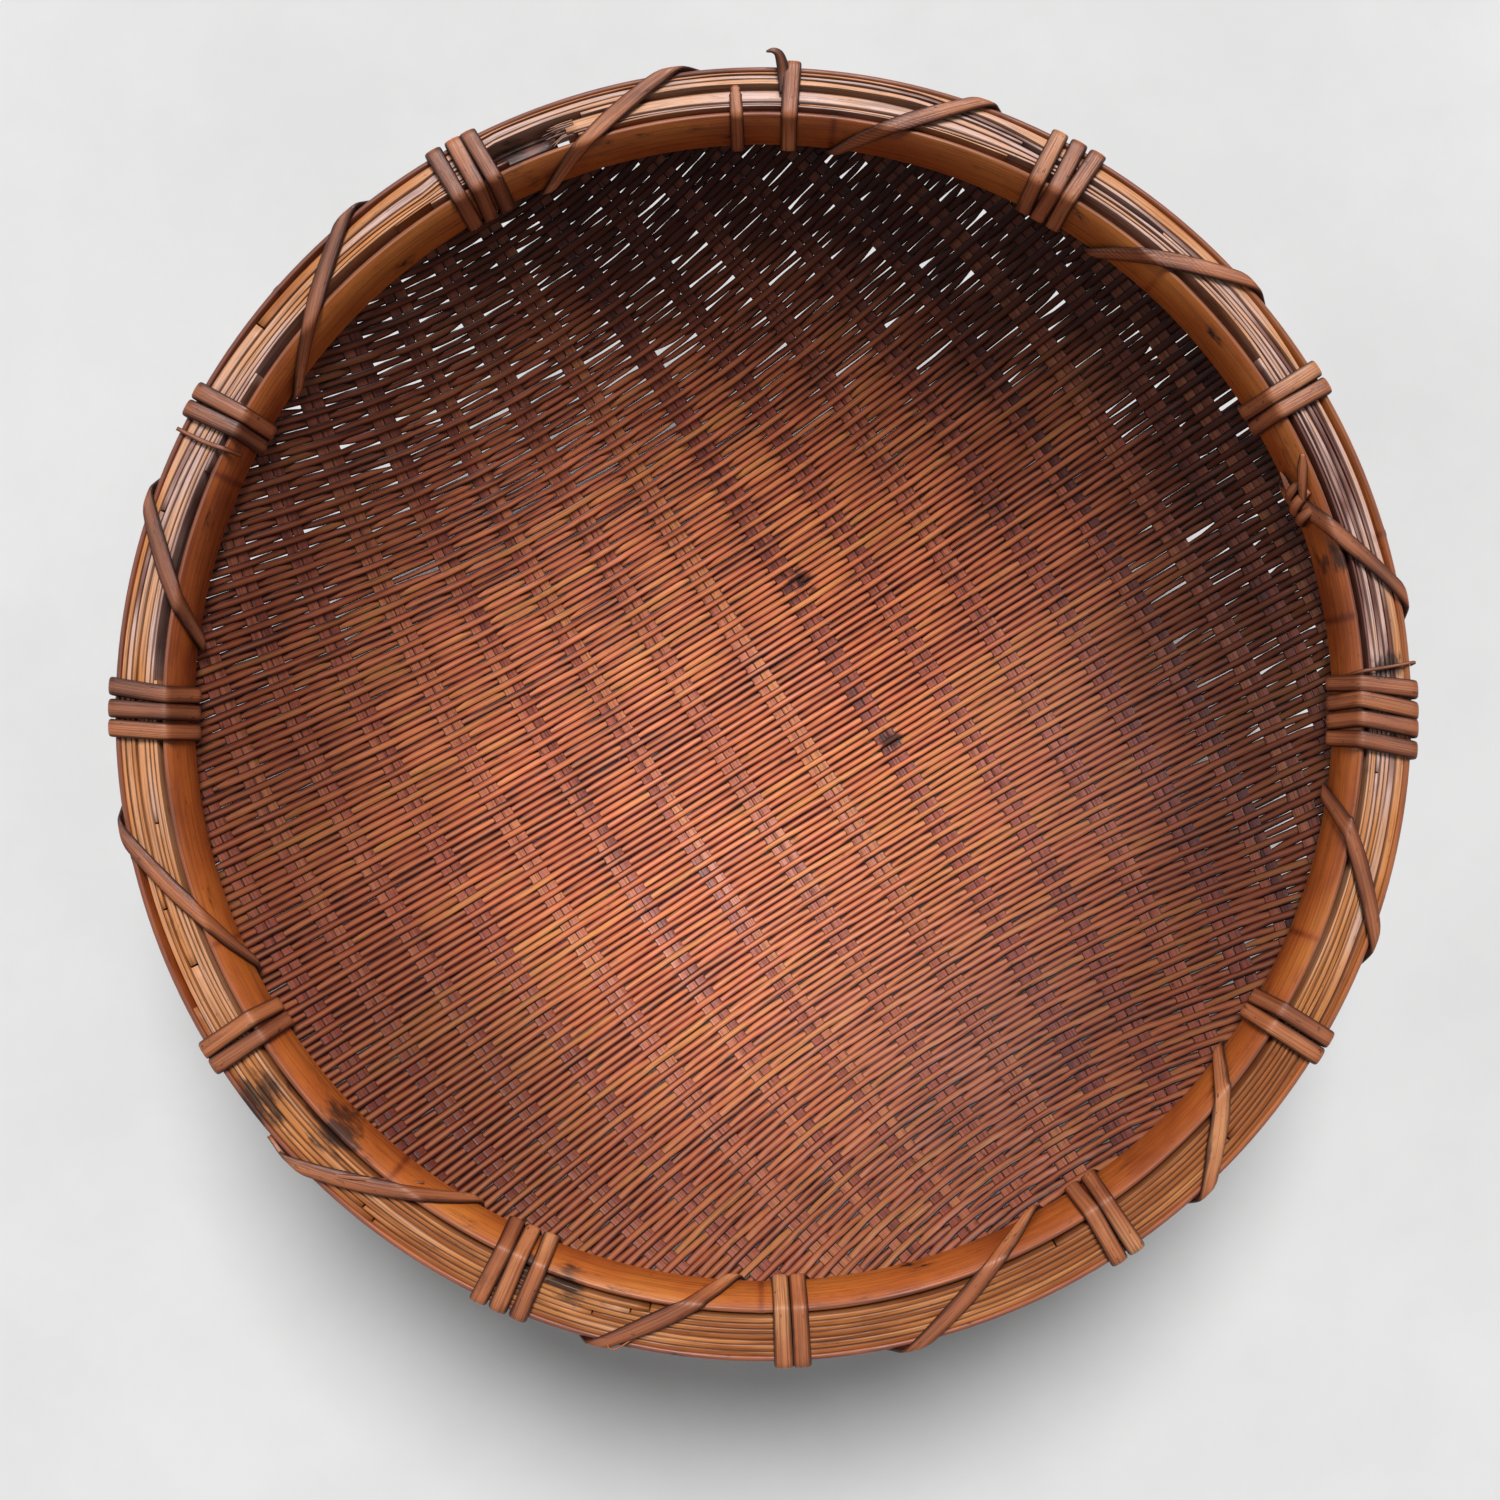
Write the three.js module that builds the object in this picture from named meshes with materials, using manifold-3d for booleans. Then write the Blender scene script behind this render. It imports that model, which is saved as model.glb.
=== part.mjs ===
// A zaru: a round shallow basket of split bamboo. A bowl-shaped mat of close wefts holds
// flat warps in pairs, and its edge is clamped in a rim of hoops and laths, lashed with
// rattan. Lengths are in millimetres and +Z is up. The origin is on the basket's axis, in
// the plane that it rests on.
import * as THREE from "three";
import { mergeVertices } from "three/addons/utils/BufferGeometryUtils.js";
import Module from "manifold-3d";

// Rim
const RIM_RADIUS = 240; // to the outer hoop's outer top edge
const OUTER_HOOP_THICKNESS = 2;
const OUTER_HOOP_HEIGHT = 17.4;
const OUTER_LEAN_DEG = 12; // of the outer hoop and the laths, from upright
const LATH_COUNT = 7;
const LATH_THICKNESS = 1.6;
const LATH_HEIGHT = 12;
const LATH_GAP = 0.3;
const LATH_STEP = 0.6; // every second lath lies this much lower
const CLAMP_GAP = 1.5; // between the inner hoop and the first lath, at the top
const INNER_HOOP_THICKNESS = 2;
const INNER_HOOP_HEIGHT = 15.2;
const INNER_LEAN_DEG = 23.2;
const RING_SEGMENTS = 60;

// Bowl of the mat
const BOWL_DEPTH = 118; // from the inner hoop's foot to the inside bottom
const BASE_RADIUS = 30; // flat middle
const BASE_CUT = 0.5; // how deep the resting face is cut flat
const MAT_THICKNESS = 3;
const EDGE_THICKNESS = 1.3; // the wefts are pressed thin where the rim clamps them
const EDGE_HEIGHT = 8.4; // of the clamped edge, above the inner hoop's foot
const SEAT_GAP = 0.6; // between the mat's edge and the inner hoop
const WALL_CURVE_SHARE = 1.75; // power that the wall rises with

// Warps, laid in pairs
const WEAVE_ANGLE_DEG = 31.7; // from X to the run of the wefts
const PAIR_COUNT = 17;
const PAIR_STEP_DEG = 8.594; // the pairs lie at even steps of a sine, closer at the sides
const PAIR_SPREAD_SHARE = 1.02;
const PAIR_OFFSET_SHARE = 0.04; // how far the middle pair lies off the centre
const CONVERGE_SHARE = 0.35; // how much a pair closes in where it meets the rim
const CONVERGE_POWER_SHARE = 2.3;
const WARP_WIDTH = 4.5;
const WARP_THICKNESS = 0.8;
const WARP_DEPTH = 0.8; // from the inside surface down to the warps' faces
const WARP_SPACE = 0.5; // between the two warps of a pair
const WARP_CLEARANCE = 0.45;
const WARP_END_GAP = 4.2; // inside the inner hoop's foot
const RIDGE_HEIGHT = 0.5; // the wefts swell outside where they cross a pair
const RIDGE_FLANK = 2;
const HOLLOW_DEPTH = 0.8; // both faces sink this far between two pairs, where the wefts lie even
const HOLLOW_RUN = 30; // from the flat middle outwards, until a hollow has its full depth
const ROW_COUNT = 12;
const POLE_COLUMNS = 2;
const STRETCH_POINTS = 1; // more points on the mat's edge, between two lines

// Lashing
const LASH_WIDTH = 5.8;
const LASH_THICKNESS = 1.4;
const LASH_SPACE = 1; // between turns
const LASH_GAP = 0.6; // between the lashing and the rim
const LASH_END_GAP = 0.6; // between one length and the next
const SLOT_CLEARANCE = 0.4;
const CROSS_OUT_SHARE = 0.34; // where a crossing passes the outer edge, between two stations
const CROSS_IN_SHARE = 0.7; // and the inner edge
const LEAVE_SHARE = 2; // turns of pitch between the last wrap and the crossing that leaves it
const ARRIVE_SHARE = 2.5; // the same before the first wrap
const STATIONS = [
  { at_deg: -179.3, wraps: 3 },
  { at_deg: -147.1, wraps: 2 },
  { at_deg: -113.6, wraps: 3 },
  { at_deg: -87.6, wraps: 2 },
  { at_deg: -56.8, wraps: 2 },
  { at_deg: -32.0, wraps: 2 },
  { at_deg: -1.9, wraps: 4 },
  { at_deg: 30.1, wraps: 2 },
  { at_deg: 60.5, wraps: 3 },
  { at_deg: 87.6, wraps: 1 },
  { at_deg: 119.4, wraps: 3 },
  { at_deg: 152.3, wraps: 2 },
];
const LOOSE_STRIP_DEG = 92.8; // the worn remainder of a wrap
const LOOSE_START_SHARE = 0.35; // of the rim's top, where it has broken off

// Places worked out from the sizes above
const radians = THREE.MathUtils.degToRad;
const outerLean = radians(OUTER_LEAN_DEG);
const innerLean = radians(INNER_LEAN_DEG);
const lathPitch = (LATH_THICKNESS + LATH_GAP) / Math.cos(outerLean);
const lathsOuterRadius = RIM_RADIUS - OUTER_HOOP_THICKNESS / Math.cos(outerLean);
const firstLathRadius = lathsOuterRadius - LATH_COUNT * lathPitch;
const innerHoopRadius = firstLathRadius - CLAMP_GAP - INNER_HOOP_THICKNESS * Math.cos(innerLean);
const seatDepth = INNER_HOOP_THICKNESS + SEAT_GAP;
const footRadius =
  innerHoopRadius - INNER_HOOP_HEIGHT * Math.sin(innerLean) + seatDepth * Math.cos(innerLean);
const bottomLevel = MAT_THICKNESS + RIDGE_HEIGHT - BASE_CUT;
const footLevel = bottomLevel + BOWL_DEPTH;
const rimLevel =
  footLevel + INNER_HOOP_HEIGHT * Math.cos(innerLean) + seatDepth * Math.sin(innerLean);

const wasm = await Module();
wasm.setup();

// Gathers triangles by their corner points and closes them into one geometry.
class Skin {
  corners = [];

  triangle(a, b, c) {
    this.corners.push(a, b, c);
  }

  quad(a, b, c, d) {
    this.triangle(a, b, c);
    this.triangle(a, c, d);
  }

  geometry() {
    const raw = new THREE.BufferGeometry().setFromPoints(this.corners);
    const merged = mergeVertices(raw);
    const index = [...merged.index.array];
    const kept = [];
    for (let i = 0; i < index.length; i += 3) {
      const [a, b, c] = index.slice(i, i + 3);
      if (a !== b && b !== c && c !== a) kept.push(a, b, c);
    }
    return merged.setIndex(kept);
  }
}

// A closed solid through cross-sections of the same number of corners. Each section runs
// counter-clockwise for someone that the sweep comes towards.
function sweep(sections) {
  const skin = new Skin();
  const count = sections[0].length;
  sections.slice(1).forEach((next, i) => {
    const here = sections[i];
    for (let k = 0; k < count; k++) {
      const m = (k + 1) % count;
      skin.quad(here[k], here[m], next[m], next[k]);
    }
  });
  const first = sections[0];
  const last = sections.at(-1);
  for (let k = 1; k + 1 < count; k++) {
    skin.triangle(first[0], first[k + 1], first[k]);
    skin.triangle(last[0], last[k], last[k + 1]);
  }
  return skin.geometry();
}

function solidOf(geometry) {
  const bare = geometry.clone();
  bare.deleteAttribute("normal");
  bare.deleteAttribute("uv");
  const merged = mergeVertices(bare);
  return new wasm.Manifold(
    new wasm.Mesh({
      numProp: 3,
      vertProperties: merged.attributes.position.array,
      triVerts: new Uint32Array(merged.index.array),
    }),
  );
}

function geometryOf(solid) {
  const mesh = solid.getMesh();
  return new THREE.BufferGeometry()
    .setAttribute("position", new THREE.BufferAttribute(mesh.vertProperties, 3))
    .setIndex(new THREE.BufferAttribute(mesh.triVerts, 1));
}

function piece(name, geometry, colour, roughness) {
  const material = new THREE.MeshStandardMaterial({ color: colour, roughness, metalness: 0 });
  geometry.computeVertexNormals();
  const mesh = new THREE.Mesh(geometry, material);
  mesh.name = name;
  return mesh;
}

const numbered = (name, i) => `${name}_${String(i + 1).padStart(2, "0")}`;

// A flat band bent into a ring, leaning outwards: its profile turns about the axis.
function ringBand(topRadius, topLevel, lean, height, thickness) {
  const along = new THREE.Vector2(Math.sin(lean), Math.cos(lean)).multiplyScalar(-height);
  const across = new THREE.Vector2(Math.cos(lean), -Math.sin(lean)).multiplyScalar(thickness);
  const innerTop = new THREE.Vector2(topRadius, topLevel);
  const innerFoot = innerTop.clone().add(along);
  const outerTop = innerTop.clone().add(across);
  const outerFoot = innerFoot.clone().add(across);
  const profile = [innerTop, innerFoot, outerFoot, outerTop, innerTop];
  return new THREE.LatheGeometry(profile, RING_SEGMENTS).rotateX(Math.PI / 2);
}

// The bowl's inside surface, as a height and a slope over the distance from the axis.
const wallReach = (r) => Math.max(0, (r - BASE_RADIUS) / (footRadius - BASE_RADIUS));
const bowlLevel = (r) => bottomLevel + BOWL_DEPTH * wallReach(r) ** WALL_CURVE_SHARE;
const bowlSlope = (r) =>
  Math.atan(
    (BOWL_DEPTH * WALL_CURVE_SHARE * wallReach(r) ** (WALL_CURVE_SHARE - 1)) /
      (footRadius - BASE_RADIUS),
  );
const footSlope = (bowlSlope(footRadius) + Math.PI / 2 - innerLean) / 2;

// A point at a depth below the inside surface, square to it. u runs along the wefts, v
// along the warps.
function matPoint(u, v, depth, onFoot) {
  const r = Math.hypot(u, v);
  const slope = onFoot ? footSlope : bowlSlope(r);
  const level = onFoot ? footLevel : bowlLevel(r);
  const spread = r > 0 ? 1 + (depth * Math.sin(slope)) / r : 1;
  return new THREE.Vector3(u * spread, v * spread, Math.max(0, level - depth * Math.cos(slope)));
}

const hollowAt = (r) => HOLLOW_DEPTH * THREE.MathUtils.clamp((r - BASE_RADIUS) / HOLLOW_RUN, 0, 1);

// The middle line of a pair, which closes in towards the rim.
const closing = (v) => 1 - CONVERGE_SHARE * Math.abs(v / footRadius) ** CONVERGE_POWER_SHARE;
const pairHalf = (PAIR_COUNT - 1) / 2;
const halvings = 50; // of a range, to find where a line meets the foot circle

function pairStart(j) {
  const sine = Math.sin(radians(PAIR_STEP_DEG) * j);
  const offset = PAIR_OFFSET_SHARE * (1 - (j / pairHalf) ** 2);
  return footRadius * (PAIR_SPREAD_SHARE * sine + offset);
}

// A line of the mat along the warps: it starts at u on the middle weft, keeps a true
// distance beside its pair and ends on the foot of the inner hoop. Lines that share their
// rows with the pair's middle line cross the warps squarely. A line in a hollow sinks: by 1
// on the inner face, and by -1 on the outer one, which gets less deep.
class MatLine {
  constructor({ start, beside = 0, depth, sinks = 0, rowsEnd }) {
    Object.assign(this, { start, beside, depth, sinks });
    this.end = this.findEnd();
    this.rowsEnd = rowsEnd ?? this.end;
  }

  depthAt(r) {
    return this.depth + this.sinks * hollowAt(r);
  }

  u(v) {
    const middle = this.start * closing(v);
    const r = Math.hypot(middle, v);
    const climb = r > 0 ? (Math.tan(bowlSlope(r)) * middle) / r : 0;
    return middle + this.beside / Math.hypot(1, climb);
  }

  findEnd() {
    let low = 0;
    let high = footRadius;
    for (let i = 0; i < halvings; i++) {
      const v = (low + high) / 2;
      if (Math.hypot(this.u(v), v) < footRadius) low = v;
      else high = v;
    }
    return low;
  }

  // The two ends lie exactly on the foot circle, the rows between on the bowl.
  point(share) {
    if (Math.abs(share) < 1) {
      const v = share * this.rowsEnd;
      const u = this.u(v);
      return matPoint(u, v, this.depthAt(Math.hypot(u, v)), false);
    }
    const v = share * this.end;
    return footPoint(Math.atan2(v, this.u(v)), this.depthAt(footRadius));
  }
}

function footPoint(angle, depth) {
  return matPoint(footRadius * Math.cos(angle), footRadius * Math.sin(angle), depth, true);
}

// The line through a point of the foot circle, between the last pair and the mat's side.
function poleLine(angle, side, depth) {
  const v = footRadius * Math.sin(angle);
  const start = (side * footRadius * Math.cos(angle)) / closing(v);
  return new MatLine({ start, depth });
}

const channelHalf = WARP_WIDTH + WARP_SPACE / 2 + WARP_CLEARANCE;
const channelDepth = WARP_DEPTH + WARP_THICKNESS + WARP_CLEARANCE;

function pairLine(j, beside, depth) {
  const start = pairStart(j);
  const onChannel = Math.abs(beside) === channelHalf;
  const rowsEnd = onChannel ? new MatLine({ start, depth }).end : undefined;
  return new MatLine({ start, beside, depth, rowsEnd });
}

// Lines of one face of the mat: two for each edge of a pair and one halfway to the next
// pair, then a few to close each side.
function matLines(besides, depths, sinks) {
  const lines = [];
  const sideDepth = depths[0];
  for (let j = -pairHalf; j <= pairHalf; j++) {
    const halfway = (pairStart(j - 1) + pairStart(j)) / 2;
    if (j > -pairHalf) lines.push(new MatLine({ start: halfway, depth: sideDepth, sinks }));
    besides.forEach((beside, k) => lines.push(pairLine(j, beside, depths[k])));
  }
  const sideLines = (side, line) => {
    const widest = Math.asin(line.end / footRadius);
    return Array.from({ length: POLE_COLUMNS }, (_, k) =>
      poleLine((widest * (POLE_COLUMNS - 1 - k)) / POLE_COLUMNS, side, sideDepth),
    );
  };
  return [...sideLines(-1, lines[0]).reverse(), ...lines, ...sideLines(1, lines.at(-1))];
}

const innerBesides = [-channelHalf, -channelHalf, channelHalf, channelHalf];
const innerDepths = [0, channelDepth, channelDepth, 0];
const ridgeFoot = channelHalf + RIDGE_FLANK;
const outerBesides = [-ridgeFoot, -channelHalf, channelHalf, ridgeFoot];
const ridgeDepth = MAT_THICKNESS + RIDGE_HEIGHT;
const outerDepths = [MAT_THICKNESS, ridgeDepth, ridgeDepth, MAT_THICKNESS];
const rowShares = Array.from({ length: ROW_COUNT + 1 }, (_, i) => (2 * i) / ROW_COUNT - 1);

// A face of the mat as rows of points. The foot circle has more points than the rows, so
// that the edge is round, except on the walls of the channels.
class MatFace {
  constructor(lines) {
    this.lines = lines;
    this.rows = rowShares.map((share) => lines.map((line) => line.point(share)));
    this.ends = [this.rows[0], this.rows.at(-1)].map((row) =>
      row.slice(1).map((point, c) => this.stretch(row[c], point, c)),
    );
  }

  // The foot circle from one line to the next, both of their points included.
  stretch(from, to, c) {
    const [line, next] = [this.lines[c], this.lines[c + 1]];
    const onWall = line.start === next.start && line.beside * next.beside > 0;
    if (onWall) return [from, to];
    const a = Math.atan2(from.y, from.x);
    const b = Math.atan2(to.y, to.x);
    const turn = b - a - 2 * Math.PI * Math.round((b - a) / (2 * Math.PI));
    const points = Array.from({ length: STRETCH_POINTS }, (_, k) => {
      const share = (k + 1) / (STRETCH_POINTS + 1);
      const [depth, nextDepth] = [line.depthAt(footRadius), next.depthAt(footRadius)];
      return footPoint(a + turn * share, THREE.MathUtils.lerp(depth, nextDepth, share));
    });
    return [from, ...points, to];
  }

  // The foot circle, counter-clockwise from above.
  loop() {
    const [front, back] = this.ends.map((end) => end.flatMap((points) => points.slice(0, -1)));
    return [...front, this.rows[0].at(-1), this.rows.at(-1).at(-1), ...back.reverse()];
  }

  fill(skin, facingUp) {
    const put = (a, b, c) => (facingUp ? skin.triangle(a, b, c) : skin.triangle(a, c, b));
    const last = this.rows.length - 2;
    this.rows.slice(1).forEach((above, i) => {
      const below = this.rows[i];
      for (let c = 0; c + 1 < below.length; c++) {
        const near = i === 0 ? this.ends[0][c] : [below[c], below[c + 1]];
        const far = i === last ? this.ends[1][c] : [above[c], above[c + 1]];
        fillBetween(near, far, put);
      }
    });
  }
}

// Triangles between two runs of points that start and end beside each other: each step goes
// on along the run that is less far through.
function fillBetween(near, far, put) {
  let i = 0;
  let k = 0;
  while (i + 1 < near.length || k + 1 < far.length) {
    if ((i + 1) / near.length <= (k + 1) / far.length && i + 1 < near.length) {
      put(near[i], near[i + 1], far[k]);
      i++;
    } else {
      put(near[i], far[k + 1], far[k]);
      k++;
    }
  }
}

// The clamped edge rises behind the inner hoop: its top lies straight above a foot point.
function edgePoint(foot, depth) {
  const angle = Math.atan2(foot.y, foot.x);
  const r = footRadius + EDGE_HEIGHT * Math.tan(innerLean) + depth * Math.cos(innerLean);
  const level = footLevel + EDGE_HEIGHT - depth * Math.sin(innerLean);
  return new THREE.Vector3(r * Math.cos(angle), r * Math.sin(angle), level);
}

function matBlank(inner, outer) {
  const skin = new Skin();
  inner.fill(skin, true);
  outer.fill(skin, false);
  const rings = [
    inner.loop(),
    inner.loop().map((foot) => edgePoint(foot, 0)),
    outer.loop().map((foot) => edgePoint(foot, EDGE_THICKNESS)),
    outer.loop(),
  ];
  rings.slice(1).forEach((far, i) => {
    const near = rings[i];
    near.forEach((point, k) => {
      const m = (k + 1) % near.length;
      skin.quad(point, far[k], far[m], near[m]);
    });
  });
  return skin.geometry();
}

// The rim's section that the lashing goes round, from the outer foot up and inwards.
const outerFall = new THREE.Vector2(Math.sin(outerLean), Math.cos(outerLean));
const innerFall = new THREE.Vector2(Math.sin(innerLean), Math.cos(innerLean));
const outerTop = new THREE.Vector2(RIM_RADIUS, rimLevel);
const innerTop = new THREE.Vector2(innerHoopRadius, rimLevel);
const sectionCorners = [
  outerTop.clone().addScaledVector(outerFall, -OUTER_HOOP_HEIGHT),
  outerTop,
  innerTop,
  innerTop.clone().addScaledVector(innerFall, -INNER_HOOP_HEIGHT),
];
const lashOffset = LASH_GAP + LASH_THICKNESS / 2;

// The outward side of the section's line from one corner to the next.
function sideNormal(from, to) {
  const along = to.clone().sub(from).normalize();
  return new THREE.Vector2(along.y, -along.x);
}

// Once round the section: three places at each corner, each with its outward side and its
// distance along the way from the corner's middle.
const cornerPlaces = sectionCorners.map((corner, i) => {
  const before = sideNormal(sectionCorners.at(i - 1), corner);
  const after = sideNormal(corner, sectionCorners[(i + 1) % sectionCorners.length]);
  const middle = before.clone().add(after).normalize();
  return [before, middle, after].map((normal) => ({
    normal,
    at: corner.clone().addScaledVector(normal, lashOffset),
  }));
});

// A stretch of lashing is a list of corner visits: which corner, and at what angle round
// the rim. Between two visits it advances evenly with the way it goes.
function lashPath(visits) {
  const places = visits.flatMap(({ corner, angle }) =>
    cornerPlaces[corner].map((place, k) => ({ ...place, angle: k === 1 ? angle : null })),
  );
  places[0].angle = visits[0].angle;
  places.at(-1).angle = visits.at(-1).angle;
  let way = 0;
  places.forEach((place, i) => {
    if (i > 0) way += place.at.distanceTo(places[i - 1].at);
    place.way = way;
  });
  const fixed = places.filter((place) => place.angle !== null);
  places.forEach((place) => {
    if (place.angle !== null) return;
    const next = fixed.findIndex((other) => other.way > place.way);
    const [a, b] = [fixed[next - 1], fixed[next]];
    place.angle = a.angle + ((b.angle - a.angle) * (place.way - a.way)) / (b.way - a.way);
  });
  return places;
}

// The flat strip along a path. It bends over the rim's edges, so its cross lines run round
// the rim, and they are longer where the strip slants.
function lashSections(places) {
  const slants = places.slice(1).map((place, i) => {
    const advance = (place.angle - places[i].angle) * place.at.x;
    return Math.hypot(1, advance / place.at.distanceTo(places[i].at));
  });
  return places.map(({ at, normal, angle }, i) => {
    const slant = Math.max(slants[i - 1] ?? slants[i], slants[i] ?? slants[i - 1]);
    const turn = ((LASH_WIDTH / 2) * slant) / at.x;
    const corner = (side, face) => {
      const place = at.clone().addScaledVector(normal, (face * LASH_THICKNESS) / 2);
      const a = angle + side * turn;
      return new THREE.Vector3(place.x * Math.cos(a), place.x * Math.sin(a), place.y);
    };
    return [corner(-1, 1), corner(1, 1), corner(1, -1), corner(-1, -1)];
  });
}

const [atOuterFoot, atOuterEdge, atInnerEdge, atInnerFoot] = sectionCorners.keys();
const lashPitch = (LASH_WIDTH + LASH_SPACE) / sectionCorners[atInnerFoot].x;
const stations = STATIONS.map(({ at_deg, wraps }) => {
  const angle = radians(at_deg);
  const halfSpan = ((wraps - 1) / 2) * lashPitch;
  return { angle, wraps, first: angle - halfSpan, last: angle + halfSpan };
});

const wrapVisits = (angle) => [
  { corner: atOuterFoot, angle },
  { corner: atOuterEdge, angle },
  { corner: atInnerEdge, angle },
  { corner: atInnerFoot, angle },
];

// One length of lashing: its wraps at a station, then the crossing to the next station,
// where it goes down through the mat and under the rim to meet the next length.
function lashingLength(i) {
  const here = stations[i];
  const next = stations[(i + 1) % stations.length];
  const lap = i + 1 === stations.length ? 2 * Math.PI : 0;
  const between = (share) => here.angle + share * (next.angle + lap - here.angle);
  const visits = [];
  for (let k = 0; k < here.wraps; k++) visits.push(...wrapVisits(here.first + k * lashPitch));
  visits.push(
    { corner: atOuterFoot, angle: here.last + LEAVE_SHARE * lashPitch },
    { corner: atOuterEdge, angle: between(CROSS_OUT_SHARE) },
    { corner: atInnerEdge, angle: between(CROSS_IN_SHARE) },
    { corner: atInnerFoot, angle: next.first + lap - ARRIVE_SHARE * lashPitch },
    { corner: atOuterFoot, angle: next.first + lap },
  );
  const sections = lashSections(lashPath(visits));
  // The last corner belongs to the next length: this one stops just short of it.
  const whole = sections.slice(0, -2);
  const stop = whole.pop();
  const before = whole.at(-1);
  const run = stop[0].distanceTo(before[0]);
  whole.push(stop.map((point, k) => point.clone().lerp(before[k], LASH_END_GAP / run)));
  return whole;
}

// The least gap between two turns of one length, measured at the strip's corners.
const placesPerTurn = 3 * sectionCorners.length;
function leastGap(sections) {
  let least = Infinity;
  sections.forEach((section, i) => {
    for (let k = i + placesPerTurn / 2; k < sections.length; k++) {
      for (const a of section) {
        for (const b of sections[k]) least = Math.min(least, a.distanceTo(b));
      }
    }
  });
  return least;
}

// The opening in the mat that all the turns at a station pass through, under the rim.
function lashSlot({ first, last }) {
  const foot = sectionCorners[atInnerFoot];
  const along = sectionCorners[atOuterFoot].clone().sub(foot);
  const below = sideNormal(foot, sectionCorners[atOuterFoot]);
  const half = LASH_WIDTH / 2 + SLOT_CLEARANCE;
  const start = (first - ARRIVE_SHARE * lashPitch) * foot.x - half;
  const stop = (last + (LEAVE_SHARE / 2) * lashPitch) * foot.x + half;
  const height = LASH_THICKNESS + 2 * SLOT_CLEARANCE;
  const middle = foot.clone().addScaledVector(below, lashOffset);
  const slot = new THREE.BoxGeometry(along.length(), stop - start, height);
  slot.rotateY(-Math.atan2(along.y, along.x));
  slot.translate(middle.x, 0, middle.y);
  slot.rotateZ((start + stop) / 2 / foot.x);
  return slot;
}

// Colours of aged, smoked bamboo and rattan
const WEFT_COLOUR = 0x7a3a22;
const WARP_COLOUR = 0x54251a;
const HOOP_COLOUR = 0xb4662c;
const LATH_COLOURS = [0xb57a4a, 0xa86a44];
const LASH_COLOUR = 0x7d4f33;

const basket = new THREE.Group();

// The mat and its warps lie turned to the run of the wefts.
const weave = new THREE.Group();
weave.rotation.z = radians(WEAVE_ANGLE_DEG);
basket.add(weave);

const innerFace = new MatFace(matLines(innerBesides, innerDepths, 1));
const outerFace = new MatFace(matLines(outerBesides, outerDepths, -1));
const mat = stations.reduce((blank, station) => {
  const slot = lashSlot(station).rotateZ(-weave.rotation.z);
  return blank.subtract(solidOf(slot));
}, solidOf(matBlank(innerFace, outerFace)));
weave.add(piece("weft_mat", geometryOf(mat), WEFT_COLOUR, 0.5));

// Each warp lies on its channel's floor, over a share of the channel's width.
function warpSections(left, right, from, to) {
  const channelWidth = 2 * channelHalf;
  const floors = rowShares.map((share) => [left.point(share), right.point(share)]);
  return floors.map(([a, b], i) => {
    const next = floors[Math.min(i + 1, floors.length - 1)];
    const previous = floors[Math.max(i - 1, 0)];
    const run = next[0].clone().sub(previous[0]);
    const up = b.clone().sub(a).cross(run).normalize();
    const corner = (place, height) =>
      a.clone().lerp(b, place / channelWidth).addScaledVector(up, height);
    const top = WARP_CLEARANCE + WARP_THICKNESS;
    return [
      corner(from, WARP_CLEARANCE),
      corner(from, top),
      corner(to, top),
      corner(to, WARP_CLEARANCE),
    ];
  });
}

// The warps end on one circle, just inside the lashing.
const warpBounds = solidOf(
  new THREE.CylinderGeometry(
    footRadius - WARP_END_GAP,
    footRadius - WARP_END_GAP,
    2 * footLevel,
    RING_SEGMENTS,
  ).rotateX(Math.PI / 2),
);
for (let pair = 0; pair < PAIR_COUNT; pair++) {
  const left = pairLine(pair - pairHalf, -channelHalf, channelDepth);
  const right = pairLine(pair - pairHalf, channelHalf, channelDepth);
  [WARP_CLEARANCE, WARP_CLEARANCE + WARP_WIDTH + WARP_SPACE].forEach((from, k) => {
    const strip = sweep(warpSections(left, right, from, from + WARP_WIDTH));
    const warp = geometryOf(solidOf(strip).intersect(warpBounds));
    weave.add(piece(numbered("warp", 2 * pair + k), warp, WARP_COLOUR, 0.45));
  });
}

basket.add(
  piece(
    "outer_hoop",
    ringBand(lathsOuterRadius, rimLevel, outerLean, OUTER_HOOP_HEIGHT, OUTER_HOOP_THICKNESS),
    HOOP_COLOUR,
    0.45,
  ),
  piece(
    "inner_hoop",
    ringBand(innerHoopRadius, rimLevel, innerLean, INNER_HOOP_HEIGHT, INNER_HOOP_THICKNESS),
    HOOP_COLOUR,
    0.4,
  ),
);
for (let k = 0; k < LATH_COUNT; k++) {
  const radius = firstLathRadius + k * lathPitch;
  const level = rimLevel - (k % 2) * LATH_STEP;
  const lath = ringBand(radius, level, outerLean, LATH_HEIGHT, LATH_THICKNESS);
  basket.add(piece(numbered("rim_lath", k), lath, LATH_COLOURS[k % 2], 0.5));
}

const lengths = stations.map((_, i) => lashingLength(i));
lengths.forEach((sections, i) => {
  basket.add(piece(numbered("lashing", i), sweep(sections), LASH_COLOUR, 0.5));
});
console.log("least gap between turns of the lashing, mm:", Math.min(...lengths.map(leastGap)));

// The loose strip lies over the inner half of the rim's top and down the inner hoop.
const looseAngle = radians(LOOSE_STRIP_DEG);
const looseVisits = wrapVisits(looseAngle).slice(atOuterEdge);
const loosePlaces = lashPath(looseVisits).slice(2, -1);
loosePlaces[0].at.lerp(loosePlaces[1].at, LOOSE_START_SHARE);
const looseStrip = sweep(lashSections(loosePlaces));
basket.add(piece("loose_strip", looseStrip, LASH_COLOUR, 0.55));

export default basket;
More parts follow.
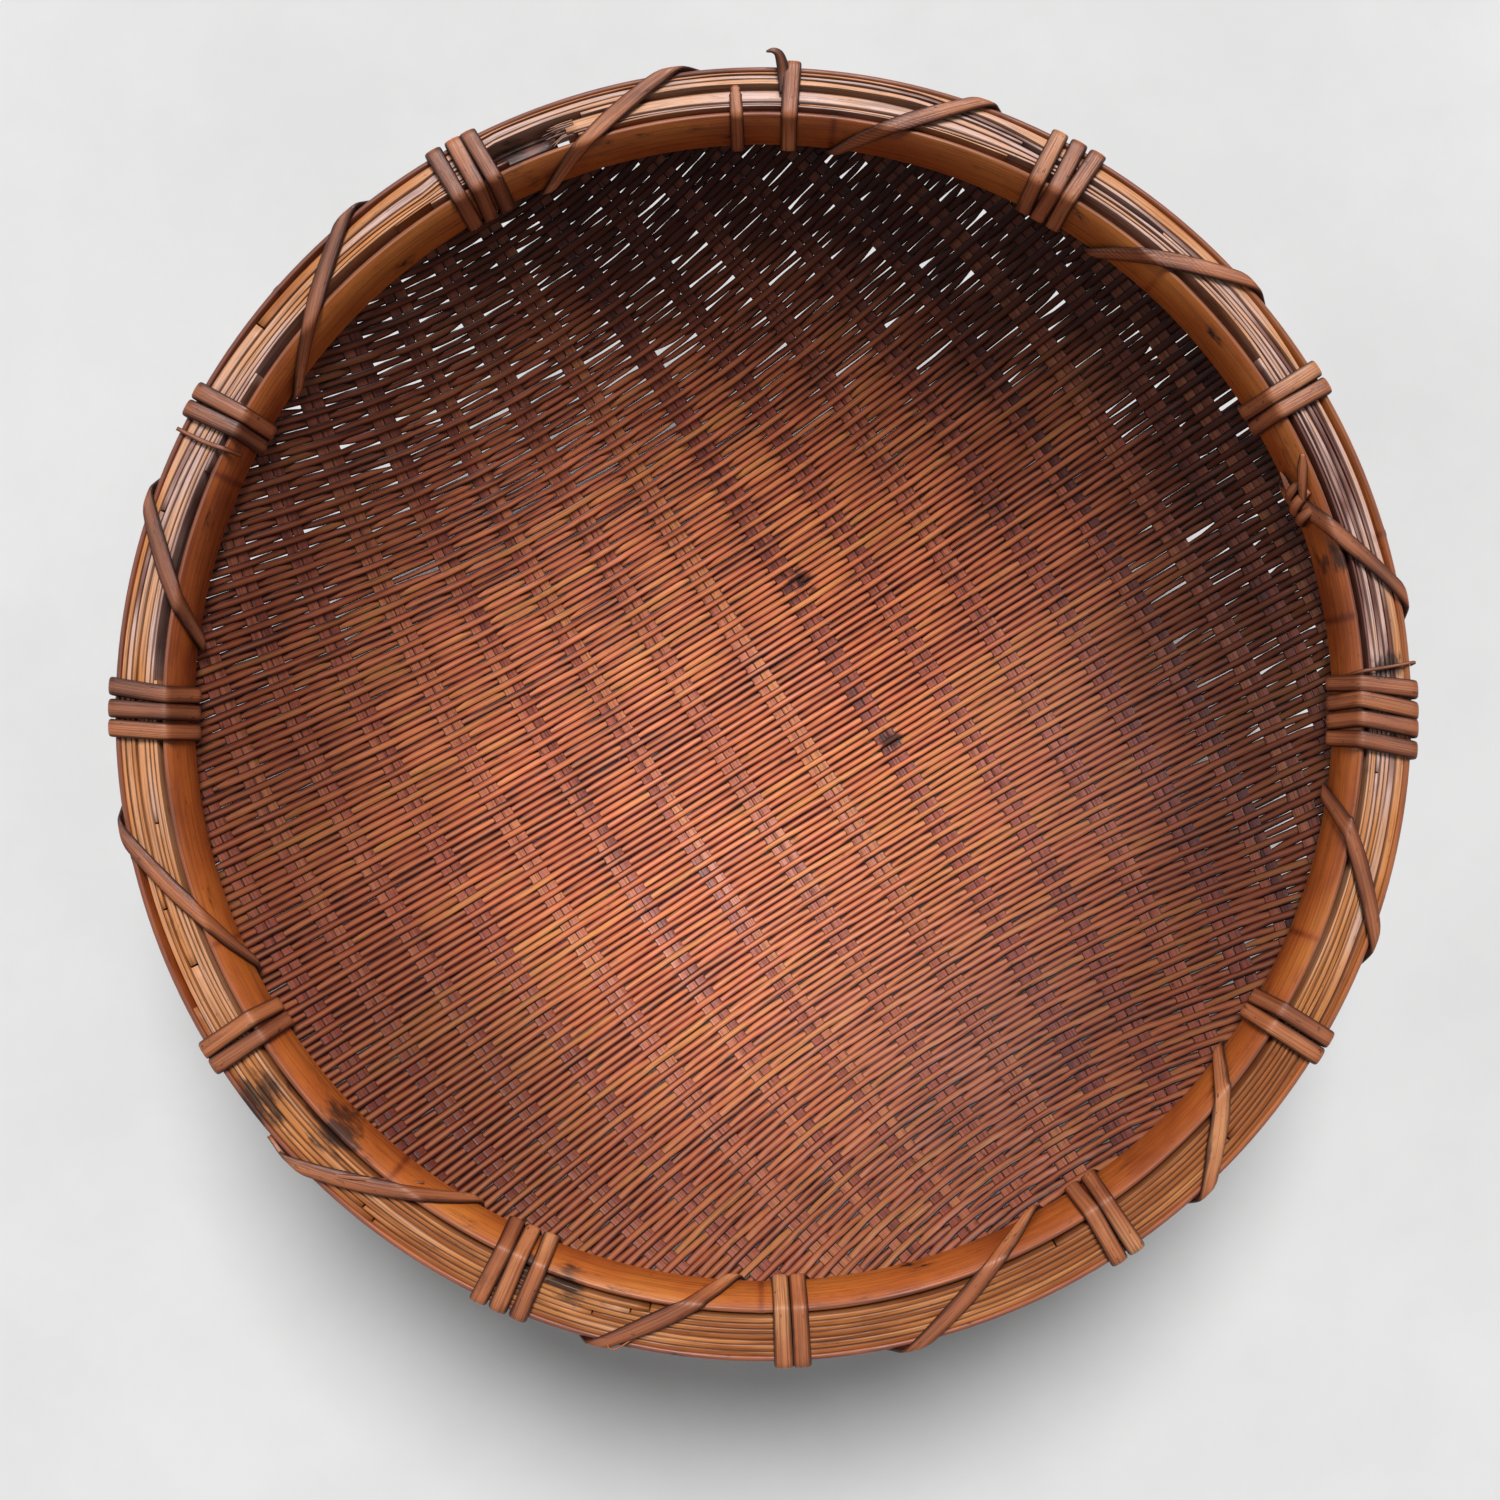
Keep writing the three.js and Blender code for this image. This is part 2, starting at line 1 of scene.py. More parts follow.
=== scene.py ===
"""A zaru, a round shallow basket of smoked bamboo: single wefts, warps, rim and lashing.

Lengths are worked out in millimetres and written to the meshes in metres. X and Y lie in
the resting plane, +Z is up, and the origin is on the basket's axis.
"""

import logging
import math
from dataclasses import dataclass
from enum import Enum
from functools import cached_property
from typing import Any, Sequence

import bmesh
import bpy
import numpy as np
from mathutils import Matrix, Vector


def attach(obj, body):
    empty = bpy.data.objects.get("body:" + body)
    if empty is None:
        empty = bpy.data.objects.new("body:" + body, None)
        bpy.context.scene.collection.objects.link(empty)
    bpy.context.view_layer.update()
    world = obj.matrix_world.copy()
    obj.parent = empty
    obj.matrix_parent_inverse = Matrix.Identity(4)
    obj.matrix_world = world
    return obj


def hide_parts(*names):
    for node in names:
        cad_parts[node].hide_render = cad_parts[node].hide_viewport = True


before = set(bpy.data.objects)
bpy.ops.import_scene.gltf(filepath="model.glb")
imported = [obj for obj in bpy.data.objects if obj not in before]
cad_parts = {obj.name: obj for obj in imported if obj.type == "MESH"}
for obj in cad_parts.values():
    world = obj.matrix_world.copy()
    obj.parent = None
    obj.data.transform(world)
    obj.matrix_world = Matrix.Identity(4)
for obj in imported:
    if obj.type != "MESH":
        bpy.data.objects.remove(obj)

MM = 0.001
BODY = "root"
LOG = logging.getLogger("zaru")

FULL_TURN = 2 * math.pi
LEAST_LENGTH = 1e-9
LEAST_REACH = 1e-6
SEAM_REACH = 1e-6
GRAIN_APART = 7.0
ANGLE_PLACES = 5
NOISE_MIDDLE = 0.5

# A Mix node's sockets for colours, whose names its other kinds share.
MIX_SHARE, MIX_FIRST, MIX_SECOND, MIX_RESULT = 0, 6, 7, 2

Array = np.ndarray
Pair = tuple[float, float]
Triple = tuple[float, float, float]
Stops = tuple[tuple[float, Triple], ...]
Table = tuple[Pair, ...]


class Slot(Enum):
    """The record's material slots."""

    WEFT = "weft_bamboo"
    WARP = "warp_bamboo"
    HOOP = "hoop_bamboo"
    LATH = "lath_bamboo"
    RATTAN = "rattan"


class Section(Enum):
    """Outlines across a strip, as shares of its width and of its thickness."""

    ROUND = (
        (-0.5, -0.1), (-0.45, 0.2), (-0.27, 0.44), (0.0, 0.5), (0.27, 0.44),
        (0.45, 0.2), (0.5, -0.1), (0.36, -0.5), (-0.36, -0.5),
    )
    FLAT = (
        (-0.5, -0.25), (-0.495, 0.3), (-0.45, 0.5), (0.45, 0.5),
        (0.495, 0.3), (0.5, -0.25), (0.46, -0.5), (-0.46, -0.5),
    )
    BAND = (
        (-0.5, -0.22), (-0.5, 0.22), (-0.475, 0.5), (0.0, 0.53),
        (0.475, 0.5), (0.5, 0.22), (0.5, -0.22), (0.475, -0.5), (-0.475, -0.5),
    )
    LATH = (
        (-0.5, -0.36), (-0.5, 0.36), (-0.485, 0.5), (0.485, 0.5),
        (0.5, 0.36), (0.5, -0.36), (0.485, -0.5), (-0.485, -0.5),
    )
    DOMED = (
        (-0.5, -0.16), (-0.46, 0.2), (-0.35, 0.4), (-0.18, 0.48), (0.0, 0.5),
        (0.18, 0.48), (0.35, 0.4), (0.46, 0.2), (0.5, -0.16), (0.42, -0.5), (-0.42, -0.5),
    )


def unit(rows: Array) -> Array:
    """Rows of vectors, each scaled to length one."""
    return rows / np.maximum(np.linalg.norm(rows, axis=-1, keepdims=True), LEAST_LENGTH)


def smooth(share: Array | float) -> Array | float:
    """A share from 0 to 1 that starts and ends softly."""
    held = np.clip(share, 0.0, 1.0)
    return held * held * (3 - 2 * held)


def folded(angles: Array, turn: float = FULL_TURN) -> Array:
    """Angles brought to within half a turn of nought, either way."""
    return (angles + turn / 2) % turn - turn / 2


def around(table: Sequence[Pair], angles: Array) -> Array:
    """A table's values at those angles; the table gives its places in degrees."""
    places, values = np.array(table).T
    return np.interp(folded(np.degrees(angles), 360), places, values)


def bump(far: Array, size: float, width: float) -> Array:
    """A soft bump of that size and width, at those distances from its middle."""
    return size * np.exp(-((far / width) ** 2))


def travelled(path: Array) -> Array:
    """How far along a path each of its places is."""
    return np.concatenate([[0], np.cumsum(np.linalg.norm(np.diff(path, axis=0), axis=1))])


def linear(colour: Triple) -> tuple[float, float, float, float]:
    """A colour given in display values from 0 to 255, as the shader's, by the sRGB formula."""
    held = [value / 255 for value in colour]
    made = [v / 12.92 if v <= 0.04045 else ((v + 0.055) / 1.055) ** 2.4 for v in held]
    return (*made, 1.0)


@dataclass
class Wobble:
    """A smooth seeded unevenness, as a sum of sines.

    Attributes:
        rng: where the phases and strengths come from.
        longest: length of the longest wave, in the units of its input.
        terms: how many waves, each shorter than the last.
        rounds: whether it repeats after a full turn, for an input in radians.
        shortening: length of each wave over that of the next.
        weakest: least strength of a wave before the shorter ones are weakened.
        gain: what brings their sum to about one where it is strongest.
    """

    rng: np.random.Generator
    longest: float
    terms: int = 3
    rounds: bool = False
    shortening: float = 1.83
    weakest: float = 0.6
    gain: float = 1.6

    def __post_init__(self) -> None:
        """Draws the waves."""
        steps = np.arange(self.terms)
        self.phases = self.rng.uniform(0, FULL_TURN, self.terms)
        self.weights = self.rng.uniform(self.weakest, 1, self.terms) / (1 + steps)
        rates = FULL_TURN / self.longest * self.shortening**steps
        self.rates = np.maximum(1, np.round(rates)) if self.rounds else rates

    def __call__(self, at: Array | float) -> Array:
        """The unevenness at one place or several, mostly from -1 to 1."""
        waves = np.sin(np.multiply.outer(at, self.rates) + self.phases)
        return waves @ self.weights / self.weights.sum() * self.gain


@dataclass
class Strand:
    """A strip of bamboo or rattan.

    Attributes:
        path: its middle line, one row for each place, in millimetres.
        side: unit vectors across its width, longer where the strip is cut aslant.
        up: unit vectors out of its face.
        width: across, for each place or for all.
        thickness: the same.
        section: its outline.
        tone: where its colour lies between the finish's tones, for each place or for all.
        mark: a number of its own that moves its grain.
        closed: whether its end joins its start.
    """

    path: Array
    side: Array
    up: Array
    width: Array | float
    thickness: Array | float
    section: Section
    tone: Array | float = 0.5
    mark: float = 0.0
    closed: bool = False

    @staticmethod
    def along(path: Array, face: Array, **facts: Any) -> "Strand":
        """A strip whose face turns as nearly as it can to given directions.

        Args:
            path: its middle line.
            face: where its face looks, for each place.
            **facts: the strand's other attributes.

        Returns:
            The strand.
        """
        run = unit(np.gradient(path, axis=0))
        side = unit(np.cross(run, face))
        return Strand(path=path, side=side, up=np.cross(side, run), **facts)

    def rolled(self, angle: Array | float) -> "Strand":
        """The same strip, turned about its own run by an angle in radians.

        Args:
            angle: for each place or for all.

        Returns:
            The strand itself.
        """
        cos, sin = np.cos(angle)[..., None], np.sin(angle)[..., None]
        side, up = self.side * cos + self.up * sin, self.up * cos - self.side * sin
        self.side, self.up = side, up
        return self

    def corners(self) -> tuple[Array, Array, Array]:
        """Where the outline's points lie.

        Returns:
            Places in metres, the grain's coordinates in metres, and the tints, each with a
            row for each place along the strand and a column for each point of the outline.
        """
        outline = np.array(self.section.value)
        count = len(self.path)
        width = np.broadcast_to(self.width, count)[:, None]
        thickness = np.broadcast_to(self.thickness, count)[:, None]
        across, out = width * outline[:, 0], thickness * outline[:, 1]
        places = (
            self.path[:, None]
            + self.side[:, None] * across[..., None]
            + self.up[:, None] * out[..., None]
        )
        run = np.broadcast_to(travelled(self.path)[:, None], across.shape)
        grain = np.stack([run * MM + GRAIN_APART * self.mark, across * MM, out * MM], axis=-1)
        tone = np.broadcast_to(np.broadcast_to(self.tone, count)[:, None], across.shape)
        shares = np.broadcast_to(outline[:, 0], across.shape)
        heights = np.broadcast_to(outline[:, 1], across.shape)
        tint = np.stack([tone, heights, shares, np.full(across.shape, self.mark)], axis=-1)
        return places * MM, grain, tint


class StrandMesh:
    """Gathers strands into the mesh of one piece."""

    def __init__(self, name: str) -> None:
        """Starts an empty piece with that name."""
        self.name = name
        self.shape = bmesh.new()
        self.grain = self.shape.verts.layers.float_vector.new("grain")
        self.tint = self.shape.verts.layers.float_color.new("tint")

    def add(self, strand: Strand) -> None:
        """Rolls a grid into the strand's skin. Its seam and ends are closed by piece().

        Args:
            strand: what is added to the piece.
        """
        places, grain, tint = strand.corners()
        if strand.closed:
            places = np.concatenate([places, places[:1]])
            grain = np.concatenate([grain, grain[-1:]])
            tint = np.concatenate([tint, tint[:1]])
        rings, points = places.shape[:2]
        verts = bmesh.ops.create_grid(
            self.shape, x_segments=points, y_segments=rings - 1, size=0.5
        )["verts"]
        wrapped = [np.concatenate([rows, rows[:, :1]], axis=1) for rows in (places, grain, tint)]
        flat = [rows.reshape(len(verts), -1).tolist() for rows in wrapped]
        for vert, place, course, hue in zip(verts, *flat):
            vert.co = place
            vert[self.grain] = course
            vert[self.tint] = hue

    def piece(
        self, finish: bpy.types.Material, stands_for: Sequence[str]
    ) -> bpy.types.Object:
        """Closes the skin and makes the piece.

        Args:
            finish: its material.
            stands_for: names of the CAD nodes that it replaces.

        Returns:
            The piece, riding on the basket's body.
        """
        seams = [vert for vert in self.shape.verts if vert.is_boundary]
        bmesh.ops.remove_doubles(self.shape, verts=seams, dist=SEAM_REACH)
        ends = [edge for edge in self.shape.edges if edge.is_boundary]
        bmesh.ops.holes_fill(self.shape, edges=ends, sides=0)
        bmesh.ops.recalc_face_normals(self.shape, faces=self.shape.faces[:])
        for face in self.shape.faces:
            ends_strand = len(face.verts) != 4
            face.smooth = not ends_strand
        mesh = bpy.data.meshes.new(self.name)
        self.shape.to_mesh(mesh)
        self.shape.free()
        mesh.materials.append(finish)
        made = bpy.data.objects.new(self.name, mesh)
        bpy.context.scene.collection.objects.link(made)
        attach(made, BODY)
        if stands_for:
            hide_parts(*stands_for)
        LOG.info("%s: %d faces", self.name, len(mesh.polygons))
        return made


class Wire:
    """An output of a shader node. Python's operators on it add Math nodes."""

    def __init__(self, graph: "Graph", socket: bpy.types.NodeSocket) -> None:
        """Wraps a node's output socket."""
        self.graph = graph
        self.socket = socket

    def __add__(self, other: "Wire | float") -> "Wire":
        """The sum."""
        return self.graph.maths("ADD", self, other)

    __radd__ = __add__

    def __sub__(self, other: "Wire | float") -> "Wire":
        """The difference."""
        return self.graph.maths("SUBTRACT", self, other)

    def __rsub__(self, other: float) -> "Wire":
        """A number less this."""
        return self.graph.maths("SUBTRACT", other, self)

    def __mul__(self, other: "Wire | float") -> "Wire":
        """The product."""
        return self.graph.maths("MULTIPLY", self, other)

    __rmul__ = __mul__

    def __truediv__(self, other: "Wire | float") -> "Wire":
        """The quotient."""
        return self.graph.maths("DIVIDE", self, other)

    def __pow__(self, other: "Wire | float") -> "Wire":
        """The power."""
        return self.graph.maths("POWER", self, other)

    def __abs__(self) -> "Wire":
        """Without its sign."""
        return self.graph.maths("ABSOLUTE", self)

    def between(self, low: float, high: float) -> "Wire":
        """From 0 at low to 1 at high, softly, and held outside; high may be the lesser."""
        settings = {"interpolation_type": "SMOOTHSTEP"}
        values = {"Value": self, "From Min": low, "From Max": high}
        return self.graph.wire("ShaderNodeMapRange", settings, values)


class Graph:
    """The node tree of one finish, and what it needs to put nodes together."""

    def __init__(self, name: str) -> None:
        """Starts a material with nothing in it but its output."""
        self.material = bpy.data.materials.new(name)
        self.material.use_nodes = True
        self.tree = self.material.node_tree
        self.tree.nodes.clear()

    def node(
        self, kind: str, settings: dict[str, Any] | None = None, values: dict[Any, Any] | None = None
    ) -> bpy.types.Node:
        """Adds a node.

        Args:
            kind: its type.
            settings: its properties, set first; "stops" are a colour ramp's.
            values: what goes to its inputs, as numbers, colours, wires or sockets.

        Returns:
            The node.
        """
        made = self.tree.nodes.new(kind)
        for key, value in (settings or {}).items():
            if key == "stops":
                self._fill_ramp(made.color_ramp, value)
            else:
                setattr(made, key, value)
        for key, value in (values or {}).items():
            source = value.socket if isinstance(value, Wire) else value
            if isinstance(source, bpy.types.NodeSocket):
                self.tree.links.new(source, made.inputs[key])
            else:
                made.inputs[key].default_value = source
        return made

    @staticmethod
    def _fill_ramp(ramp: bpy.types.ColorRamp, stops: Stops) -> None:
        """Gives a ramp its stops, each a place and a colour in display values.

        Args:
            ramp: a new ramp.
            stops: what it gets, in order.
        """
        while len(ramp.elements) < len(stops):
            ramp.elements.new(1.0)
        for element, (place, colour) in zip(ramp.elements, stops):
            element.position = place
            element.color = linear(colour)

    def wire(
        self, kind: str, settings: dict[str, Any] | None = None,
        values: dict[Any, Any] | None = None, output: str | int = 0,
    ) -> Wire:
        """Adds a node and gives one of its outputs."""
        return Wire(self, self.node(kind, settings, values).outputs[output])

    def maths(self, operation: str, *terms: "Wire | float") -> Wire:
        """Adds a Math node."""
        return self.wire("ShaderNodeMath", {"operation": operation}, dict(enumerate(terms)))

    def mix(self, share: "Wire | float", first: Any, second: Any, blend: str = "MIX") -> Wire:
        """Mixes two colours.

        Args:
            share: how much of the second.
            first: a wire, or a colour in display values.
            second: the same.
            blend: how they mix.

        Returns:
            The mixed colour.
        """
        held = [c if isinstance(c, Wire) else linear(c) for c in (first, second)]
        settings = {"data_type": "RGBA", "blend_type": blend, "clamp_factor": True}
        values = {MIX_SHARE: share, MIX_FIRST: held[0], MIX_SECOND: held[1]}
        return self.wire("ShaderNodeMix", settings, values, MIX_RESULT)

    def scaled(self, vector: Wire, by: Triple) -> Wire:
        """A vector with each of its parts multiplied."""
        return self.wire("ShaderNodeVectorMath", {"operation": "MULTIPLY"}, {0: vector, 1: by})

    def noise(self, vector: Wire, scale: float, detail: float = 2.0, rough: float = 0.5) -> Wire:
        """A soft random pattern, mostly from 0.25 to 0.75."""
        values = {"Vector": vector, "Scale": scale, "Detail": detail, "Roughness": rough}
        return self.wire("ShaderNodeTexNoise", {}, values, "Fac")

    def near(self, place: Wire, centre: Triple, radius: float) -> Wire:
        """One at a place and nothing beyond a radius, in metres."""
        settings, values = {"operation": "DISTANCE"}, {0: place, 1: centre}
        return self.wire("ShaderNodeVectorMath", settings, values, "Value").between(radius, 0.0)

    def finish(self, values: dict[str, Any]) -> bpy.types.Material:
        """Closes the tree with a shader that has those inputs."""
        shader = self.node("ShaderNodeBsdfPrincipled", {}, values)
        self.node("ShaderNodeOutputMaterial", {}, {"Surface": shader.outputs[0]})
        return self.material


@dataclass(frozen=True)
class Pattern:
    """A noise in a strip's grain, and the range of it that shows.

    Attributes:
        rate: how fast it changes along the strip, across it and into it.
        detail: of the noise.
        rough: of the noise.
        low: the value at which it begins to show.
        high: the value from which all of it shows.
    """

    rate: Triple
    detail: float
    rough: float = 0.5
    low: float = 0.0
    high: float = 1.0

    def noise(self, graph: Graph, grain: Wire, by: float = 1.0) -> Wire:
        """The noise, changing so many times as fast."""
        rate = tuple(part * by for part in self.rate)
        return graph.noise(graph.scaled(grain, rate), 1.0, self.detail, self.rough)

    def shown(self, noise: Wire) -> Wire:
        """How much of it shows."""
        return noise.between(self.low, self.high)


FIBRES = Pattern((24, 1500, 1500), detail=3.0, rough=0.7, low=0.46, high=0.64)
SPECKS = Pattern((330, 700, 700), detail=2.0, rough=0.5, low=0.66, high=0.75)
PATCHES = Pattern((1, 3, 3), detail=4.0, rough=0.65, low=0.56, high=0.74)
DRIFT = Pattern((0.4, 1, 1), detail=3.0, rough=0.6)


@dataclass(frozen=True)
class BurnOrShade:
    """A dark place, used both for scorched marks and for painted shade in a hollow.

    Attributes:
        centre: on the basket, in metres.
        radius: where it ends, in metres.
        colour: in display values.
        share: how much of it shows.
        ragged: how strongly the bamboo's patches break it up.
        low: how near the centre it begins, from 0 at the radius to 1.
        high: how near it is complete.
    """

    centre: Triple
    radius: float
    colour: Triple = (30, 20, 20)
    share: float = 0.85
    ragged: float = 2.6
    low: float = 0.42
    high: float = 0.95

    def over(self, graph: Graph, place: Wire, patch: Wire, colour: Wire) -> Wire:
        """A colour with the dark place on it, broken up by the patches."""
        near = graph.near(place, self.centre, self.radius) + (patch - NOISE_MIDDLE) * self.ragged
        return graph.mix(near.between(self.low, self.high) * self.share, colour, self.colour)


@dataclass(frozen=True)
class StainOrPaintedLight:
    """A broad faint patch of colour in the lacquer, used both for real stained patches and for painted
    sheen and painted shade.

    Attributes:
        centre: on the basket, in metres.
        radius: where it ends, in metres.
        colour: in display values.
        share: how much of it shows in the middle.
        even: how much of that is there where the clouds are thinnest.
        cloudy: how much more the clouds add.
    """

    centre: Triple
    radius: float
    colour: Triple
    share: float
    even: float = 0.6
    cloudy: float = 0.8

    def over(self, graph: Graph, place: Wire, cloud: Wire, colour: Wire) -> Wire:
        """A colour with the patch on it, uneven with the clouds."""
        near = graph.near(place, self.centre, self.radius) * (cloud * self.cloudy + self.even)
        return graph.mix(near * self.share, colour, self.colour)


@dataclass(frozen=True)
class SmokeAndShade:
    """The smoky darkening of age together with painted shade, most of it high on the wall.

    Attributes:
        colour: what a colour is multiplied with where the darkening is strongest.
        dust_and_sheen_colour: the same towards +X, duller and greyer: dust, and a painted sheen of the
            lacquer.
        dust_and_sheen_from: where that begins, from -1 at the -X side to 1 at the +X side.
        dust_and_sheen_to: where it is complete.
        reach: how far from the axis the darkening is strongest, in metres.
        curve: how late it sets in on the way there.
        even: how much of it lies on all sides alike.
        towards: how much more lies on the +X side and on the +Y side.
        uneven: how far it wanders, in metres.
        uneven_rate: how often it wanders in a metre.
    """

    colour: Triple = (62, 28, 23)
    dust_and_sheen_colour: Triple = (68, 50, 49)
    dust_and_sheen_from: float = -0.7
    dust_and_sheen_to: float = 0.9
    reach: float = 0.203
    curve: float = 3.6
    even: float = 0.78
    towards: Pair = (0.09, 0.24)
    uneven: float = 0.06
    uneven_rate: float = 11.0

    def over(self, graph: Graph, place: Wire, colour: Wire, share: float) -> Wire:
        """A colour as the smoky darkening and painted shade darken it.

        Args:
            graph: the finish's nodes.
            place: where on the basket, in metres.
            colour: without the darkening.
            share: how much of the darkening shows on the finish.

        Returns:
            The darkened colour.
        """
        flat = graph.scaled(place, (1, 1, 0))
        parts = graph.node("ShaderNodeSeparateXYZ", {}, {"Vector": flat})
        x, y = (Wire(graph, parts.outputs[k]) for k in range(2))
        away = graph.wire("ShaderNodeVectorMath", {"operation": "LENGTH"}, {0: flat}, "Value")
        side = (x * self.towards[0] + y * self.towards[1]) / (away + MM)
        wander = (graph.noise(place, self.uneven_rate, detail=3.0) - NOISE_MIDDLE) * self.uneven
        # Smoky darkening with painted shade: strongest high on the wall and more on the +X and +Y
        # sides.
        smoked = (away + wander).between(0.0, self.reach) ** self.curve * (side + self.even)
        # Towards +X the darkest colour turns greyer: dust and a painted sheen.
        dust_and_sheen = (x / (away + MM)).between(self.dust_and_sheen_from, self.dust_and_sheen_to)
        darkest = graph.mix(dust_and_sheen, self.colour, self.dust_and_sheen_colour)
        return graph.mix(smoked * share, colour, darkest, "MULTIPLY")


@dataclass(frozen=True)
class StripFinish:
    """Smoked bamboo or rattan under old lacquer.

    Attributes:
        name: the material's name.
        tones: the colours that strips have, in display values, by their tone.
        shade: the dark colour of the fibres, patches and cracks, and of the painted shade along the
            edges, on the underside and at a lath's seams.
        speck_shade: the colour of the specks.
        smoke_and_shade: how smoky darkening and painted shade darken it.
        smoke_and_shade_share: how much of that shows.
        brink: colour of the cut edges of a band, and none for a strip.
        tone_spread: how far the tone wanders with the clouds.
        along: how much more it wanders along one strip.
        fibre: how strongly the fibres show.
        edge: how dark the painted shade along the strip's edges and on its underside is.
        edge_from: from where that begins, as a share of the width from the middle.
        crown_highlight: how much paler the middle of the strip is, a painted highlight along its
            crown.
        pale: the colour of that painted highlight.
        seam_shade: how dark the painted shade along the long edges of a lath's top is, at its seams.
        patch_rate: patches in a metre of the strip.
        cloud_rate: clouds in a metre of the basket.
        gloss: of the lacquer, as the shader's specular level.
        speck: how strongly dark specks show.
        blotch: how strongly dark patches show.
        roughness: of the lacquer.
        rough_fibre: how much rougher it is along the fibres.
        rough_cloud: how far its roughness goes with the clouds.
        relief: depth of the fibres, in metres.
        burns_and_shade: scorched places, and painted shade in the hole where laths are broken away.
        stains_and_painted_light: stained patches, and patches of painted sheen and painted shade.
    """

    name: str
    tones: Stops
    shade: Triple = (46, 16, 9)
    speck_shade: Triple = (16, 9, 8)
    smoke_and_shade: SmokeAndShade = SmokeAndShade()
    smoke_and_shade_share: float = 1.0
    brink: Triple | None = None
    tone_spread: float = 0.45
    along: float = 2.0
    fibre: float = 0.5
    edge: float = 0.6
    edge_from: float = 0.34
    crown_highlight: float = 0.0
    pale: Triple = (250, 166, 118)
    seam_shade: float = 0.0
    patch_rate: float = 55.0
    cloud_rate: float = 16.0
    gloss: float = 0.5
    speck: float = 0.3
    blotch: float = 0.5
    roughness: float = 0.4
    rough_fibre: float = 0.12
    rough_cloud: float = 0.2
    relief: float = 0.00016
    burns_and_shade: tuple[BurnOrShade, ...] = ()
    stains_and_painted_light: tuple[StainOrPaintedLight, ...] = ()

    def material(self) -> bpy.types.Material:
        """The finish as a Blender material.

        Returns:
            The material.
        """
        graph = Graph(self.name)
        place = graph.wire("ShaderNodeTexCoord", output="Object")
        grain = graph.wire("ShaderNodeAttribute", {"attribute_name": "grain"}, output="Vector")
        tint = graph.node("ShaderNodeAttribute", {"attribute_name": "tint"})
        parts = graph.node("ShaderNodeSeparateColor", {}, {"Color": tint.outputs["Color"]})
        tone, height, share = (Wire(graph, parts.outputs[k]) for k in range(3))
        drift = DRIFT.noise(graph, grain, self.patch_rate) - NOISE_MIDDLE
        cloud = graph.noise(place, self.cloud_rate, detail=3.0)
        wander = drift * self.along * self.tone_spread + (cloud - NOISE_MIDDLE) * self.tone_spread
        colour = graph.wire("ShaderNodeValToRGB", {"stops": self.tones}, {"Fac": tone + wander})
        # Patches of colour: a real stained patch, and patches of painted sheen and painted shade.
        for stain_or_painted_light in self.stains_and_painted_light:
            colour = stain_or_painted_light.over(graph, place, cloud, colour)
        fibres = FIBRES.noise(graph, grain)
        lines = FIBRES.shown(fibres)
        colour = graph.mix(lines * self.fibre, colour, self.shade)
        patch = PATCHES.noise(graph, grain, self.patch_rate)
        colour = graph.mix(PATCHES.shown(patch) * self.blotch, colour, self.shade)
        specks = SPECKS.shown(SPECKS.noise(graph, grain))
        colour = graph.mix(specks * self.speck, colour, self.speck_shade)
        if self.brink is None:
            colour = self._rounded(graph, colour, height, share)
        else:
            colour = self._cut(graph, colour, lines, share)
        # Smoky darkening, partly painted shade, with a dusty painted sheen towards +X.
        colour = self.smoke_and_shade.over(graph, place, colour, self.smoke_and_shade_share)
        # Scorched marks, and painted shade in the laths' broken-away hole.
        for burn_or_shade in self.burns_and_shade:
            colour = burn_or_shade.over(graph, place, patch, colour)
        rough = self.roughness + lines * self.rough_fibre
        rough = rough + (cloud - NOISE_MIDDLE) * self.rough_cloud
        bump = graph.wire(
            "ShaderNodeBump", {}, {"Strength": 1.0, "Distance": self.relief, "Height": fibres}
        )
        inputs = {"Base Color": colour, "Roughness": rough, "Normal": bump}
        return graph.finish(inputs | {"Specular IOR Level": self.gloss})

    def _rounded(self, graph: Graph, colour: Wire, height: Wire, share: Wire) -> Wire:
        """A strip's colour with painted light: a painted highlight along its middle, and painted shade
        along its edges, on its underside and at a lath's seams.

        Args:
            graph: the finish's nodes.
            colour: without this.
            height: from -0.5 at the strip's back to 0.5 at its face.
            share: from -0.5 at one edge to 0.5 at the other.

        Returns:
            The colour with it.
        """
        # Painted highlight along the strip's middle.
        crown_highlight = abs(share).between(low=0.3, high=0.05)
        colour = graph.mix(crown_highlight * self.crown_highlight, colour, self.pale)
        # Painted shade along the strip's edges and on its underside.
        rim = abs(share).between(self.edge_from, high=0.48) + height.between(low=0.1, high=-0.5)
        colour = graph.mix(rim * self.edge, colour, self.shade)
        # Painted shade along the long edges of a lath's top, at its seams.
        seam_shade = abs(height).between(low=0.35, high=0.47)
        return graph.mix(seam_shade * self.seam_shade, colour, self.shade)

    def _cut(self, graph: Graph, colour: Wire, lines: Wire, share: Wire) -> Wire:
        """A band's colour, with paler cut edges.

        Args:
            graph: the finish's nodes.
            colour: without this.
            lines: where the fibres show.
            share: from -0.5 at one edge to 0.5 at the other.

        Returns:
            The colour with it.
        """
        cut = graph.mix(lines * self.fibre, graph.mix(0.5, colour, self.brink), self.shade)
        return graph.mix(abs(share).between(low=0.478, high=0.492), colour, cut)


